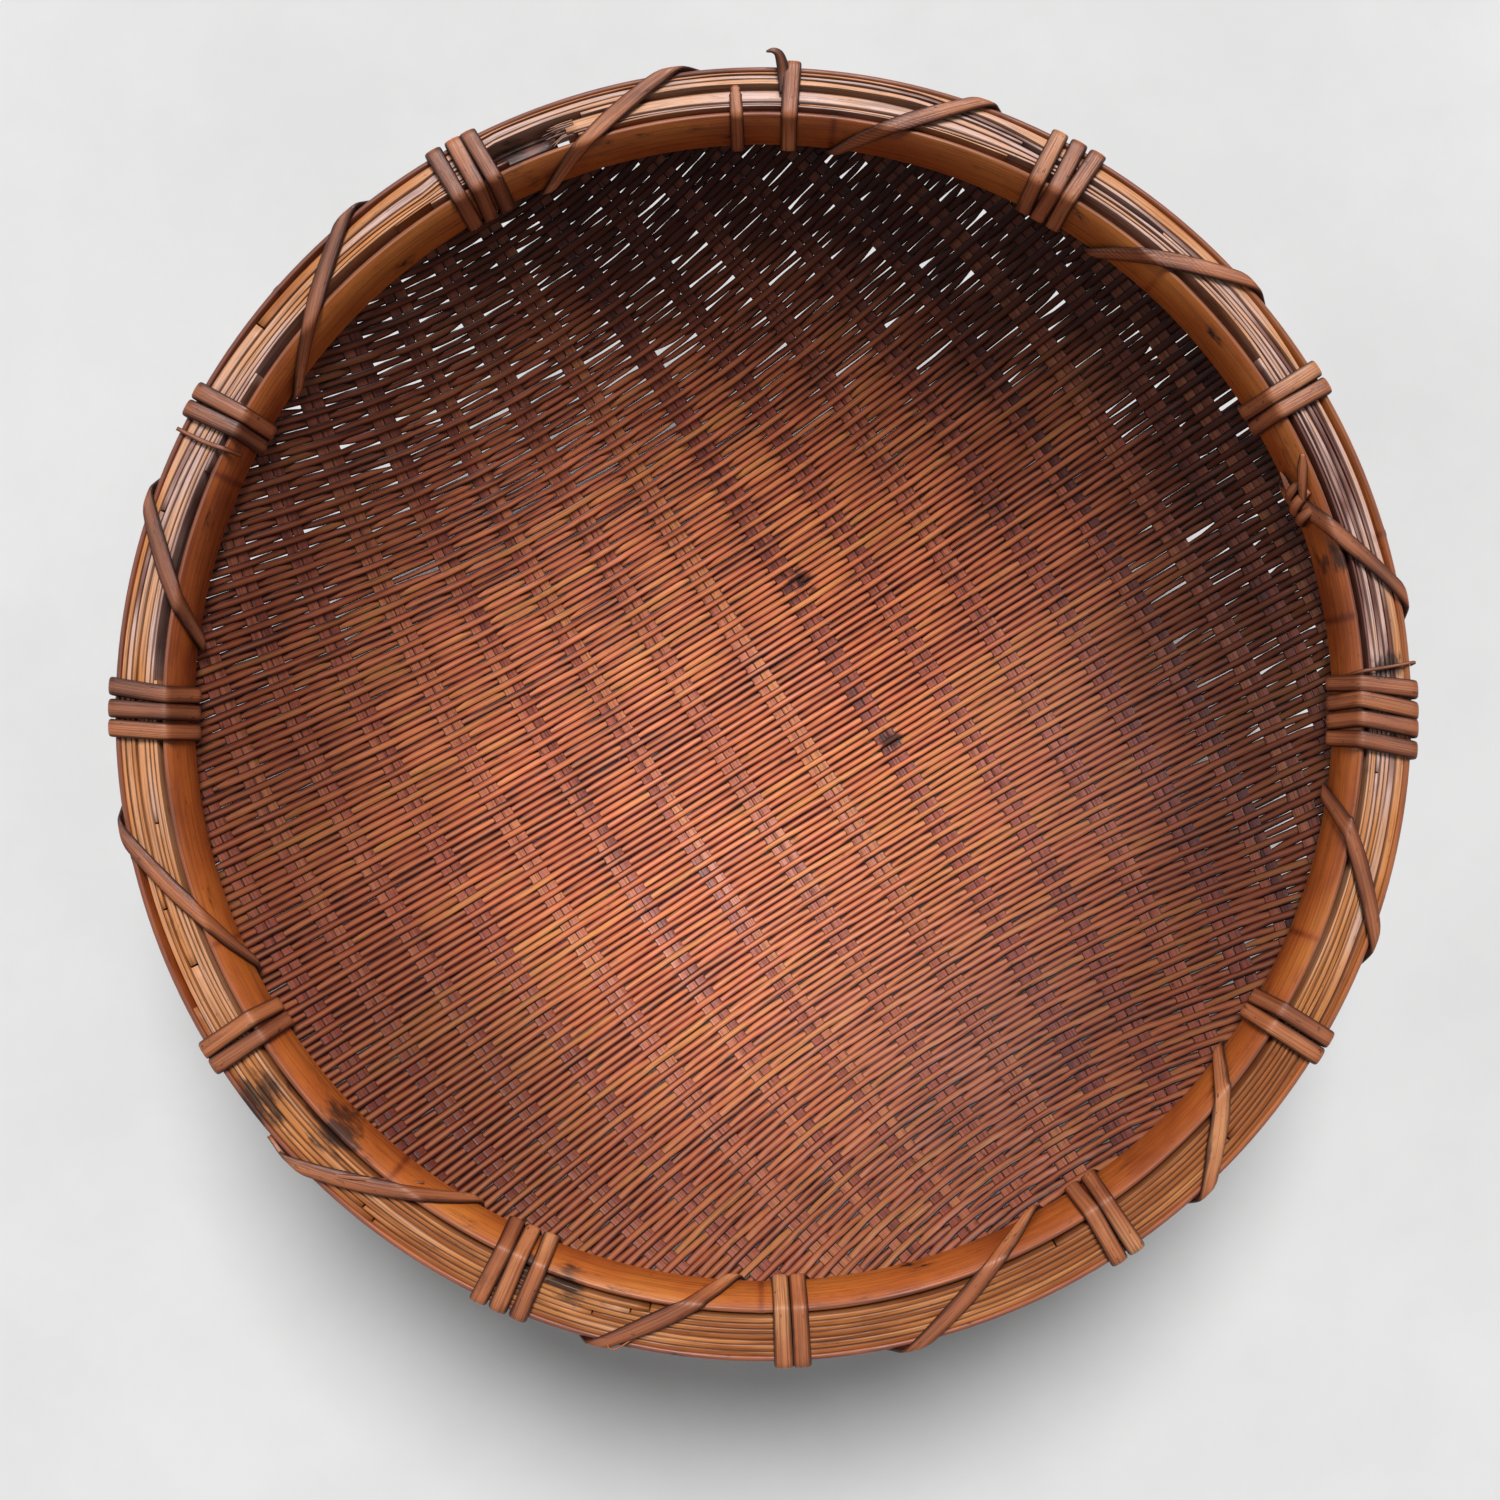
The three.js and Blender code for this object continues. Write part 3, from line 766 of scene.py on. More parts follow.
@dataclass(frozen=True)
class Bowl:
    """The basket's form: the rim's section and the mat's inside surface, in millimetres.

    Thicknesses, heights and gaps are those of the hoops, laths and mat in the source. Leans
    are from upright, and heights are along them.

    Attributes:
        rim_radius: of the outer hoop's outer top edge.
        outer_lean: of the outer hoop and the laths.
        clamp_gap: from the inner hoop to the first lath, at the top.
        inner_lean: of the inner hoop and the mat's clamped edge.
        depth: from where the mat meets the inner hoop down to the inside bottom.
        base_radius: of the flat middle.
        seat_gap: between the mat and the inner hoop.
        edge_height: of the mat's clamped edge.
        curve: how late the wall steepens on its way out.
        turn: of the wefts' run from +X.
        bend: over how far the wall turns up into the clamped edge.
    """

    rim_radius: float = 240.0
    outer_thickness: float = 2.0
    outer_height: float = 17.4
    outer_lean: float = math.radians(12)
    lath_count: int = 7
    lath_thickness: float = 1.6
    lath_height: float = 12.0
    lath_gap: float = 0.3
    clamp_gap: float = 1.5
    inner_thickness: float = 2.0
    inner_height: float = 15.2
    inner_lean: float = math.radians(23.2)
    depth: float = 118.0
    base_radius: float = 30.0
    mat_thickness: float = 3.0
    seat_gap: float = 0.6
    edge_height: float = 8.4
    curve: float = 1.75
    turn: float = math.radians(31.7)
    bend: float = 2.0

    @cached_property
    def lath_pitch(self) -> float:
        """From one lath to the next."""
        return (self.lath_thickness + self.lath_gap) / math.cos(self.outer_lean)

    @cached_property
    def laths_outer(self) -> float:
        """Radius of the outer hoop's inner top edge."""
        return self.rim_radius - self.outer_thickness / math.cos(self.outer_lean)

    @cached_property
    def first_lath(self) -> float:
        """Radius of the innermost lath's inner top edge."""
        return self.laths_outer - self.lath_count * self.lath_pitch

    @cached_property
    def inner_hoop(self) -> float:
        """Radius of the inner hoop's inner top edge."""
        return self.first_lath - self.clamp_gap - self.inner_thickness * math.cos(self.inner_lean)

    @cached_property
    def foot(self) -> float:
        """Radius at which the mat meets the inner hoop."""
        seat = self.inner_thickness + self.seat_gap
        drop = self.inner_height * math.sin(self.inner_lean)
        return self.inner_hoop - drop + seat * math.cos(self.inner_lean)

    @cached_property
    def bottom(self) -> float:
        """Level of the inside bottom."""
        return self.mat_thickness

    @cached_property
    def foot_level(self) -> float:
        """Level at which the mat meets the inner hoop."""
        return self.bottom + self.depth

    @cached_property
    def rim_level(self) -> float:
        """Level of the rim's top."""
        seat = self.inner_thickness + self.seat_gap
        rise = self.inner_height * math.cos(self.inner_lean)
        return self.foot_level + rise + seat * math.sin(self.inner_lean)

    @cached_property
    def edge(self) -> float:
        """Radius at which the mat's clamped edge ends."""
        return self.foot + self.edge_height * math.tan(self.inner_lean)

    def level(self, r: Array) -> Array:
        """Height of the inside surface, and of the clamped edge beyond the foot."""
        reach = np.clip((r - self.base_radius) / (self.foot - self.base_radius), 0, 1)
        clamped = np.maximum(r - self.foot, 0) / math.tan(self.inner_lean)
        return self.bottom + self.depth * reach**self.curve + clamped

    def slope(self, r: Array) -> Array:
        """How steep the surface is, as an angle.

        Args:
            r: distances from the axis.

        Returns:
            The angle at each, from level.
        """
        reach = np.clip((r - self.base_radius) / (self.foot - self.base_radius), 0, 1)
        rise = self.depth * self.curve * reach ** (self.curve - 1) / (self.foot - self.base_radius)
        beyond = smooth((r - self.foot) / self.bend + 0.5)
        return np.arctan(rise) * (1 - beyond) + (math.pi / 2 - self.inner_lean) * beyond

    def climb(self, u: Array, v: Array) -> Array:
        """How much the surface rises with each step along the wefts' run."""
        r = np.maximum(np.hypot(u, v), LEAST_REACH)
        return np.tan(self.slope(np.minimum(r, self.foot))) * u / r

    def place(
        self, u: Array, v: Array, deep: Array | float
    ) -> tuple[Array, Array]:
        """Points below the inside surface.

        Args:
            u: distance along the wefts' run.
            v: distance along the warps' run.
            deep: depth below the surface, square to it.

        Returns:
            The points in the basket's frame, and the directions square to the surface.
        """
        r = np.maximum(np.hypot(u, v), LEAST_REACH)
        slope = self.slope(r)
        out = np.sin(slope)
        level = self.level(r) - deep * np.cos(slope)
        x, y = u * (1 + deep * out / r), v * (1 + deep * out / r)
        cos, sin = math.cos(self.turn), math.sin(self.turn)
        points = np.stack([x * cos - y * sin, x * sin + y * cos, level], axis=-1)
        nx, ny = -u / r * out, -v / r * out
        face = np.stack([nx * cos - ny * sin, nx * sin + ny * cos, np.cos(slope)], axis=-1)
        return points, face


@dataclass(frozen=True)
class Openings:
    """The see-through slots between the wefts of the wall, in millimetres.

    How far out a place is counts as a share of the foot's radius.

    Attributes:
        chance: share of the stretches that have one, by the angle in degrees.
        begin: how far out they begin, in the same way.
        fade: how much further out they come to their share.
        least: width of the slimmest.
        spread: how much wider than that they are, as a mean.
        most: width of the widest.
        torn_chance: share of those stretches that are torn open.
        torn: least and greatest width that this adds.
        rare: what is left of their width where they are rare, as a share.
        often: the chance from which they have their full width.
        short: share of short slots low on the wall, and what the rim adds to it.
        short_from: how far out the rim begins to.
        short_fade: how much further out it is complete.
        long_middle: least and greatest width of a long slot halfway, as a share.
        long_end: greatest width of a long slot at its far end, as a share.
        short_middle: greatest width of a short slot halfway, as a share.
    """

    chance: Table = (
        (-180, 0.2), (-150, 0.08), (-90, 0.04), (-50, 0.06), (-30, 0.2), (-12, 0.5), (15, 0.5),
        (45, 0.45), (70, 0.65), (105, 0.85), (135, 0.75), (160, 0.4), (180, 0.2),
    )
    begin: Table = (
        (-180, 0.6), (-90, 0.75), (-10, 0.72), (20, 0.7), (50, 0.64), (80, 0.52), (120, 0.44),
        (160, 0.52), (180, 0.6),
    )
    fade: float = 0.3
    least: float = 0.25
    spread: float = 0.37
    most: float = 2.2
    torn_chance: float = 0.07
    torn: Pair = (0.8, 1.6)
    rare: float = 0.35
    often: float = 0.5
    short: Pair = (0.2, 0.6)
    short_from: float = 0.6
    short_fade: float = 0.25
    long_middle: Pair = (0.4, 0.9)
    long_end: float = 0.4
    short_middle: float = 0.3

    def drawn(
        self, rng: np.random.Generator, reach: Array, direction: Array
    ) -> tuple[Array, Array, Array]:
        """Draws a slot, or none, for each stretch of a weft.

        Args:
            rng: where the draws come from.
            reach: how far out each stretch is, as a share of the foot's radius.
            direction: where it is round the basket.

        Returns:
            The slots' widths, and how wide they are halfway and at the far end, as shares.
        """
        draw, count = rng.uniform, len(reach)
        chance = around(self.chance, direction)
        open_share = smooth((reach - around(self.begin, direction)) / self.fade) * chance
        size = (draw(0, 1, count) < open_share) * (self.least + rng.exponential(self.spread, count))
        size += (draw(0, 1, count) < self.torn_chance * open_share) * draw(*self.torn, count)
        full = self.rare + (1 - self.rare) * smooth(chance / self.often)
        size = np.minimum(size, self.most) * full
        low, added = self.short
        short = low + added * smooth((reach - self.short_from) / self.short_fade)
        long = draw(0, 1, count) > short
        halfway = np.where(long, draw(*self.long_middle, count), draw(0, self.short_middle, count))
        far = np.where(long, draw(0, self.long_end, count), 0)
        return size, halfway, far


@dataclass(frozen=True)
class Ripple:
    """The wavy lie of the wefts where the mat has settled, at the photograph's lower right.

    Attributes:
        size: how far a weft swings, in millimetres.
        length: of a wave, for each radian.
        turn: how far the waves move on from weft to weft, in radians.
        side: where they begin along the wefts, as a share of the foot's radius.
        side_fade: how much further they are complete.
        row: the weft at which they begin, counted from the middle one.
        row_fade: how many wefts further they are complete.
    """

    size: float = 0.75
    length: float = 17.0
    turn: float = 0.21
    side: float = 0.25
    side_fade: float = 0.5
    row: int = 22
    row_fade: int = 30

    def swing(self, k: int, at: Array, foot: float) -> Array:
        """How far weft number k swings at its places, for a foot of that radius."""
        wave = np.sin(at / self.length + k * self.turn)
        wave = wave * smooth((at / foot - self.side) / self.side_fade)
        return wave * smooth((-k - self.row) / self.row_fade) * self.size


@dataclass
class Mat:
    """The woven mat: single wefts, over and under pairs of warps, in millimetres.

    Attributes:
        bowl: the form that it lies on.
        pitch: from weft to weft, along the warps.
        weft_width: of a weft where it is pressed least.
        weft_thickness: of a weft.
        warp_width: of a warp.
        warp_thickness: of a warp.
        warp_middle: from a pair's middle line to the middle of each warp.
        pair_half: half of what the wefts bridge at a pair.
        dive: how far beside a pair the wefts part to pass over and under it.
        mid_depth: of the warps' middle below the inside surface.
        pair_count: how many pairs there are.
        pair_step: from pair to pair, as an angle at the bowl's middle.
        spread: how far the outermost pairs lie from the middle one.
        offset: how far the middle pair lies from the bowl's middle.
        converge: how much the pairs close in on their way out.
        converge_power: how late they do.
        openings: the slots between the wefts.
        ripple: the wavy lie of some wefts.
        waves: longest waves of a weft's wander, of its width and of its twist.
        wander: how far a weft strays.
        slot_shift: how far a slot pushes its weft aside, as a share of the slot's width.
        swell: how far a weft's width varies, as a share.
        pressed: how much slimmer it is on top of the warps, as a share.
        twist: how far a weft rolls, in radians.
        steep: where the wall begins to be steep, and over how much more it is wholly so.
        steep_slimmer: how much thinner the wefts are there, as a share.
        steep_wider: how much wider they are there, as a share.
        thickness_range: least and greatest thickness of a weft, as shares.
        width_range: the same of its width.
        weft_tones: mean tone of the wefts and how far it varies.
        tone_range: darkest and lightest tone of a weft.
        warp_range: least and greatest width of a warp, as shares.
        warp_tones: mean tone of the warps and how far it varies.
        run_half: how far the lines along the warps reach from the middle, at their starts.
        run_step: from line to line.
        row_reach: how far they are followed.
        row_step: steps in which they are.
        warp_reach: how far a warp is followed.
        warp_every: how many of its steps lie between its places.
        warp_least: the fewest places of a warp.
        rim_room: from the rim to where stretches are held to lie within.
        edge_clear: room that the middle of a weft needs to the mat's edge.
        shortest: half the length of the shortest weft.
        beyond: a place beyond the rim.
        further: from there to one still further out.
        knot_room: least room between two pairs, along a weft.
        apart: least distance between two bends of a weft.
        end_step: from a weft's end to its next place.
        least_step: least distance between its places.
        bands: how many pieces the wefts are shared out to.
        seed: of the random draws.
    """

    bowl: Bowl
    pitch: float = 3.07
    weft_width: float = 3.2
    weft_thickness: float = 1.25
    warp_width: float = 4.75
    warp_thickness: float = 0.35
    warp_middle: float = 2.4
    pair_half: float = 4.95
    dive: float = 5.5
    mid_depth: float = 1.5
    pair_count: int = 17
    pair_step: float = math.radians(8.594)
    spread: float = 1.02
    offset: float = 0.04
    converge: float = 0.35
    converge_power: float = 2.3
    openings: Openings = Openings()
    ripple: Ripple = Ripple()
    waves: Triple = (90.0, 60.0, 70.0)
    wander: float = 0.12
    slot_shift: float = 0.4
    swell: float = 0.04
    pressed: float = 0.06
    twist: float = 0.16
    steep: Pair = (50.0, 110.0)
    steep_slimmer: float = 0.28
    steep_wider: float = 0.05
    thickness_range: Pair = (0.9, 1.04)
    width_range: Pair = (0.95, 1.04)
    weft_tones: Pair = (0.5, 0.21)
    tone_range: Pair = (0.02, 0.95)
    warp_range: Pair = (0.95, 1.02)
    warp_tones: Pair = (0.5, 0.22)
    run_half: float = 230.0
    run_step: float = 2.0
    row_reach: float = 226.0
    row_step: float = 0.5
    warp_reach: float = 224.0
    warp_every: int = 8
    warp_least: int = 6
    rim_room: float = 25.0
    edge_clear: float = 1.0
    shortest: float = 12.0
    beyond: float = 260.0
    further: float = 10.0
    knot_room: float = 1.0
    apart: float = 0.01
    end_step: float = 3.0
    least_step: float = 0.7
    bands: int = 8
    seed: int = 27

    def __post_init__(self) -> None:
        """Lays out the pairs and the rows of the wefts."""
        self.rng = np.random.default_rng(self.seed)
        half = (self.pair_count - 1) / 2
        order = np.arange(-half, half + 1)
        offset = self.offset * (1 - (order / half) ** 2)
        self.pairs = self.bowl.foot * (self.spread * np.sin(self.pair_step * order) + offset)
        self.starts = np.arange(-self.run_half, self.run_half + self.row_step, self.run_step)
        self.rows = self._rows()

    def closing(self, v: Array) -> Array:
        """How much the pairs have closed in at a distance from the middle weft."""
        return 1 - self.converge * np.abs(v / self.bowl.foot) ** self.converge_power

    def _rows(self) -> dict[int, Array]:
        """For each weft, how far along the warps it lies on the line from each start.

        The wefts are one pitch apart, measured on the surface along the warps.

        Returns:
            A row of distances from the middle weft, by the weft's number.
        """
        v = np.arange(0.0, self.row_reach, self.row_step)
        u = np.multiply.outer(self.starts, self.closing(v))
        z = self.bowl.level(np.hypot(u, v))
        steps = np.sqrt(np.diff(u, axis=1) ** 2 + np.diff(z, axis=1) ** 2 + self.row_step**2)
        run = np.concatenate([np.zeros((len(u), 1)), np.cumsum(steps, axis=1)], axis=1)
        last = int(run[len(run) // 2, -1] / self.pitch)
        found = {}
        for k in range(last + 1):
            row = np.array([np.interp(k * self.pitch, line, v) for line in run])
            found[k], found[-k] = row, -row
        return found

    def _slots(
        self, row: Array, high: Array, low: Array, under: Array
    ) -> Array:
        """How much slimmer a weft is along each of its stretches, which opens slots beside it.

        A slot is widest where the weft dives under a pair, and closes on the way to the
        next. Near the rim the slots are short, and further down they are thin and long.

        Args:
            row: how far along the warps the weft lies, for each start.
            high: starts at which the stretches begin, at the edges of the pairs.
            low: starts at which they end.
            under: whether the weft dives at the beginning and at the end of each stretch.

        Returns:
            A row for each stretch: what the width loses at its beginning, middle and end.
        """
        furthest = self.bowl.rim_radius - self.rim_room
        middle = (np.maximum(high, -furthest) + np.minimum(low, furthest)) / 2
        v = np.interp(middle, self.starts, row)
        u = middle * self.closing(v)
        reach = np.hypot(u, v) / self.bowl.foot
        size, halfway, far = self.openings.drawn(self.rng, reach, np.arctan2(v, u) + self.bowl.turn)
        ends = np.where(under, 1, far[:, None])
        return size[:, None] * np.insert(ends, 1, halfway, axis=1)

    def _knots(self, row: Array) -> tuple[Array, Array]:
        """Where a weft in that row meets the pairs.

        Args:
            row: how far along the warps it lies, for each start.

        Returns:
            Starts of the two edges of each pair, and of its middle.
        """
        v = np.interp(self.pairs, self.starts, row)
        u = self.pairs * self.closing(v)
        half = self.pair_half / (self.closing(v) * np.hypot(1, self.bowl.climb(u, v)))
        low, high = self.pairs - half, self.pairs + half
        crowded = low[1:] < high[:-1] + self.knot_room
        middle = (low[1:] + high[:-1]) / 2
        low[1:] = np.where(crowded, middle + self.knot_room / 2, low[1:])
        high[:-1] = np.where(crowded, middle - self.knot_room / 2, high[:-1])
        return np.stack([low, high], axis=1), self.pairs

    def weft(self, k: int) -> Strand | None:
        """One weft, or nothing where the rim leaves no room for it.

        Args:
            k: its number, 0 in the middle.

        Returns:
            The strand, or None.
        """
        row = self.rows[k]
        reach = np.hypot(self.starts * self.closing(row), row)
        right = self.starts >= 0
        if reach[right][0] > self.bowl.edge - self.edge_clear:
            return None
        end = float(np.interp(self.bowl.edge, reach[right], self.starts[right]))
        if end < self.shortest:
            return None
        edges, middles = self._knots(row)
        signs = np.where((np.arange(self.pair_count) + k) % 2 == 0, 1.0, -1.0)
        low = np.append(edges[:, 0], self.beyond)
        high = np.insert(edges[:, 1], 0, -self.beyond)
        dive = np.minimum((low - high) / 2 - self.apart, self.dive)
        bounds = np.stack([high, high + dive, low - dive, low], axis=1).ravel()[1:-1]
        flat = np.zeros(len(low))
        over, under = np.insert(signs, 0, 0.0), np.append(signs, 0.0)
        heights = np.stack([over, flat, flat, under], axis=1).ravel()[1:-1]
        halfway = (bounds[1:] + bounds[:-1]) / 2
        ends = [-end, -end + self.end_step, end - self.end_step, end]
        at = np.sort(np.concatenate([bounds, halfway, middles, ends]))
        at = at[np.abs(at) <= end]
        at = at[np.concatenate([[True], np.diff(at) > self.least_step])]
        left = np.clip(np.searchsorted(bounds, at, side="right") - 1, 0, len(bounds) - 2)
        share = (at - bounds[left]) / (bounds[left + 1] - bounds[left])
        height = heights[left] + (heights[left + 1] - heights[left]) * smooth(share)
        dives = np.stack([over, under], axis=1) < 0
        losses = np.pad(self._slots(row, high, low, dives), ((0, 0), (0, 1)))
        halts = np.append(middles, self.beyond + self.further)
        places = np.stack([high, (high + low) / 2, low, halts], axis=1)
        loss = np.interp(at, places.ravel(), losses.ravel())
        return self._laid(k, at, height, loss)

    def _laid(self, k: int, at: Array, height: Array, loss: Array) -> Strand:
        """A weft through the places at those starts, at those shares of its rise.

        Args:
            k: its number.
            at: starts of the lines along the warps that it crosses.
            height: from -1 below the warps to 1 above them, for each place.
            loss: how much slimmer it is, for each place.

        Returns:
            The strand.
        """
        span = (self.rows.get(k + 1, self.rows[k]) - self.rows.get(k - 1, self.rows[k])) / 2
        own, swell, twist = (Wobble(self.rng, longest) for longest in self.waves)
        shift = self.wander * own(at) + self.slot_shift * loss * self.rng.choice([-1, 1])
        shift = shift + self.ripple.swing(k, at, self.bowl.foot)
        v = np.interp(at, self.starts, self.rows[k])
        v = v + shift * np.interp(at, self.starts, span) / self.pitch
        u = at * self.closing(v)
        steep = smooth((np.hypot(u, v) - self.steep[0]) / self.steep[1])
        thickness = self.weft_thickness * self.rng.uniform(*self.thickness_range)
        thickness = thickness * (1 - self.steep_slimmer * steep)
        rise = (thickness + self.warp_thickness) / 2
        points, face = self.bowl.place(u, v, self.mid_depth - height * rise)
        points[:, 2] = np.maximum(points[:, 2], thickness / 2)
        width = self.weft_width * self.rng.uniform(*self.width_range) * (1 + self.steep_wider * steep)
        width = width * (1 + self.swell * swell(at) - self.pressed * np.maximum(height, 0)) - loss
        tone = np.clip(self.rng.normal(*self.weft_tones), *self.tone_range)
        strand = Strand.along(
            points, face, width=width, thickness=thickness, section=Section.ROUND,
            tone=tone, mark=self.rng.uniform(0, 1),
        )
        return strand.rolled(self.twist * twist(at))

    def warp(self, start: float, beside: float) -> Strand:
        """One warp of the pair at that start, to one side of its middle line.

        Args:
            start: of the pair's middle line.
            beside: from that line to the warp's middle.

        Returns:
            The strand.
        """
        v = np.arange(-self.warp_reach, self.warp_reach + self.row_step, self.row_step)
        middle = start * self.closing(v)
        u = middle + beside / np.hypot(1, self.bowl.climb(middle, v))
        inside = np.hypot(u, v) < self.bowl.edge
        u, v = u[inside], v[inside]
        count = max(self.warp_least, len(u) // self.warp_every)
        keep = np.unique(np.linspace(0, len(u) - 1, count).astype(int))
        points, face = self.bowl.place(u[keep], v[keep], self.mid_depth)
        return Strand.along(
            points, face, width=self.warp_width * self.rng.uniform(*self.warp_range),
            thickness=self.warp_thickness, section=Section.FLAT,
            tone=np.clip(self.rng.normal(*self.warp_tones), 0, 1), mark=self.rng.uniform(0, 1),
        )

    def build(self, weft_finish: bpy.types.Material, warp_finish: bpy.types.Material) -> None:
        """Makes the wefts' bands and the pairs of warps.

        Args:
            weft_finish: of the wefts.
            warp_finish: of the warps.
        """
        numbers = sorted(self.rows)
        wefts = [strand for strand in map(self.weft, numbers) if strand is not None]
        for band, chosen in enumerate(np.array_split(np.arange(len(wefts)), self.bands)):
            mesh = StrandMesh(f"wefts_{band + 1:02d}")
            for index in chosen:
                mesh.add(wefts[index])
            mesh.piece(weft_finish, ["weft_mat"])
        for pair, start in enumerate(self.pairs):
            mesh = StrandMesh(f"warp_pair_{pair + 1:02d}")
            for beside in (-self.warp_middle, self.warp_middle):
                mesh.add(self.warp(start, beside))
            mesh.piece(warp_finish, [f"warp_{2 * pair + k:02d}" for k in (1, 2)])


@dataclass
class Rim:
    """The hoops and the laths between them, in millimetres and, round the rim, in degrees.

    Attributes:
        bowl: the form that they edge.
        inner_nodes: where the inner hoop has nodes of the bamboo, in degrees.
        outer_nodes: the same for the outer hoop.
        gold_and_sheen: the laths' tone by the angle in degrees: how deep their gold is, and near 0.25
            the pale pinkish grey of a painted sheen, as on the upper side.
        outer_gold: how much deeper gold the outermost is.
        hole_at: where the laths are broken away, in degrees.
        hole_depth: how deep.
        loose: how loosely the laths lie, by the angle in degrees.
        missing: laths that are worn away, with the angles between which they are.
        seams_at: where the seams are at some angles, in even laths from the inside.
        hoop_tone_and_light: tone of the inner hoop, by the angle in degrees, partly its own colour and
            partly painted light, raised at the upper left and upper right where the hoop faces away
            from the lamp.
        edge_tone: the same for the outer hoop.
        hoop_places: how many places a hoop has besides those at its nodes.
        ring_places: where it has places round a node.
        ring: height and width of the ring at a node.
        groove: depth and width of the groove along the ring's middle.
        ring_shade: how much darker a hoop is at a node, and how far to each side.
        hoop_hue: how far a hoop's tone varies.
        seam_stray: how far a seam strays, in even laths, and what looseness adds.
        seam_open: half of how far a seam stands open, and what looseness adds.
        seam_often: how often loose seams do; above 1 they all do.
        butt: half the gap between the ends of a lath's lengths, in radians.
        lath_step: from one place along a lath to the next.
        lath_least: the fewest places of a lath.
        run_least: a length with no more places than this is left out.
        hole_reach: how far round from the hole's middle its laths are sunk, not gone.
        lath_drop: from the rim's top to the highest laths.
        lath_sink: how far laths sink below that, and what looseness adds.
        lath_lift: how much less every second lath sinks, as a share.
        lath_hue: how far a lath's tone varies, along it and from lath to lath.
        thinnest: least thickness of a lath.
        seed: of the random draws.
    """

    bowl: Bowl
    inner_nodes: tuple[float, ...] = (157.7, -155.9, 83.2, 47.1, -23.6, -90.4, 8.0, -128.0)
    outer_nodes: tuple[float, ...] = (140.0, 71.0, 15.0, -48.0, -102.0, -166.0)
    # Tone by angle: gold on most sides, and the pale pinkish grey of a painted sheen on the upper
    # side.
    gold_and_sheen: Table = (
        (-180, 0.5), (-150, 0.72), (-125, 0.92), (-95, 0.9), (-60, 1.0), (-35, 0.95),
        (-12, 0.45), (2, 0.06), (12, 0.02), (24, 0.1), (40, 0.28), (62, 0.3), (90, 0.3), (118, 0.4),
        (134, 0.52), (150, 0.36), (160, 0.3), (176, 0.42), (180, 0.5),
    )
    outer_gold: float = 0.26
    hole_at: float = 113.0
    hole_depth: float = 6.0
    loose: Table = (
        (-180, 0.25), (-150, 0.15), (-100, 0.05), (-60, 0.05), (-20, 0.25), (10, 0.5),
        (30, 0.9), (66, 1), (80, 0.6), (120, 0.5), (130, 0.15), (158, 0.15), (180, 0.25),
    )
    missing: tuple[tuple[int, float, float], ...] = (
        (3, 74, 103), (0, 109.2, 115), (1, 109.8, 116.6), (2, 110.4, 117.2), (3, 108.6, 117.2),
        (0, 35, 66), (4, 50, 64), (0, 124, 150), (1, 128, 147), (6, -166, -152), (0, 158, 178),
    )
    seams_at: tuple[tuple[float, tuple[float, ...]], ...] = (
        (-180, (0, 0.8, 1.5, 2.4, 4.1, 5.0, 6.0, 7)), (-150, (0, 0.8, 1.5, 2.4, 4.1, 5.0, 6.0, 7)),
        (-110, (0, 1.0, 2.0, 3.0, 4.0, 5.0, 6.0, 7)), (-45, (0, 0.9, 2.0, 2.9, 4.1, 5.0, 6.1, 7)),
        (-20, (0, 0.5, 1.5, 2.4, 3.1, 3.7, 5.4, 7)), (6, (0, 0.6, 1.5, 2.4, 3.3, 4.2, 5.1, 7)),
        (14, (0, 0.8, 1.6, 2.4, 3.3, 4.2, 5.1, 6.2)), (30, (0, 0.8, 1.6, 2.4, 3.3, 4.2, 5.1, 6.2)),
        (38, (0, 0.8, 1.6, 2.4, 3.2, 4.0, 4.8, 7)), (62, (0, 0.8, 1.5, 2.3, 3.1, 3.9, 4.7, 7)),
        (76, (0, 0.52, 1.05, 3.5, 4.5, 5.5, 6.5, 7)), (116, (0, 0.52, 1.05, 3.5, 4.5, 5.5, 6.5, 7)),
        (124, (0, 0.45, 0.9, 1.5, 2.2, 3.0, 4.7, 7)), (132, (0, 0.45, 0.9, 1.5, 2.2, 3.0, 4.5, 6.3)),
        (142, (0, 0.5, 1.0, 1.6, 2.3, 3.2, 4.6, 6.5)), (150, (0, 0.5, 1.1, 1.8, 2.6, 3.6, 4.9, 7)),
        (165, (0, 0.8, 1.5, 2.4, 4.1, 5.0, 6.0, 7)), (180, (0, 0.8, 1.5, 2.4, 4.1, 5.0, 6.0, 7)),
    )
    # Partly the hoop's own colour, partly painted light: high at the upper left and upper right, where
    # the hoop faces away from the lamp.
    hoop_tone_and_light: Table = (
        (-180, 0.55), (-150, 0.62), (-90, 0.74), (-60, 0.72), (-35, 0.55), (-12, 0.6), (8, 0.55),
        (25, 0.8), (50, 0.94), (66, 0.8), (90, 0.7), (112, 0.66), (135, 0.86), (160, 0.6), (180, 0.55),
    )
    edge_tone: Table = (
        (-180, 0.35), (-110, 0.4), (-60, 0.6), (-20, 0.75), (40, 0.8), (65, 0.6), (90, 0.4),
        (120, 0.3), (180, 0.35),
    )
    hoop_places: int = 240
    ring_places: tuple[float, ...] = (-1.5, -0.7, -0.38, -0.16, 0, 0.16, 0.38, 0.7, 1.5)
    ring: Pair = (0.45, 1.2)
    groove: Pair = (0.2, 0.5)
    ring_shade: Pair = (0.3, 1.3)
    hoop_hue: float = 0.1
    seam_stray: Pair = (0.1, 0.06)
    seam_open: Pair = (0.05, 0.26)
    seam_often: float = 0.35
    butt: float = 0.0015
    lath_step: float = 1.2
    lath_least: int = 12
    run_least: int = 3
    hole_reach: float = 5.0
    lath_drop: float = 0.15
    lath_sink: Pair = (0.1, 0.36)
    lath_lift: float = 0.6
    lath_hue: float = 0.14
    thinnest: float = 0.5
    seed: int = 5

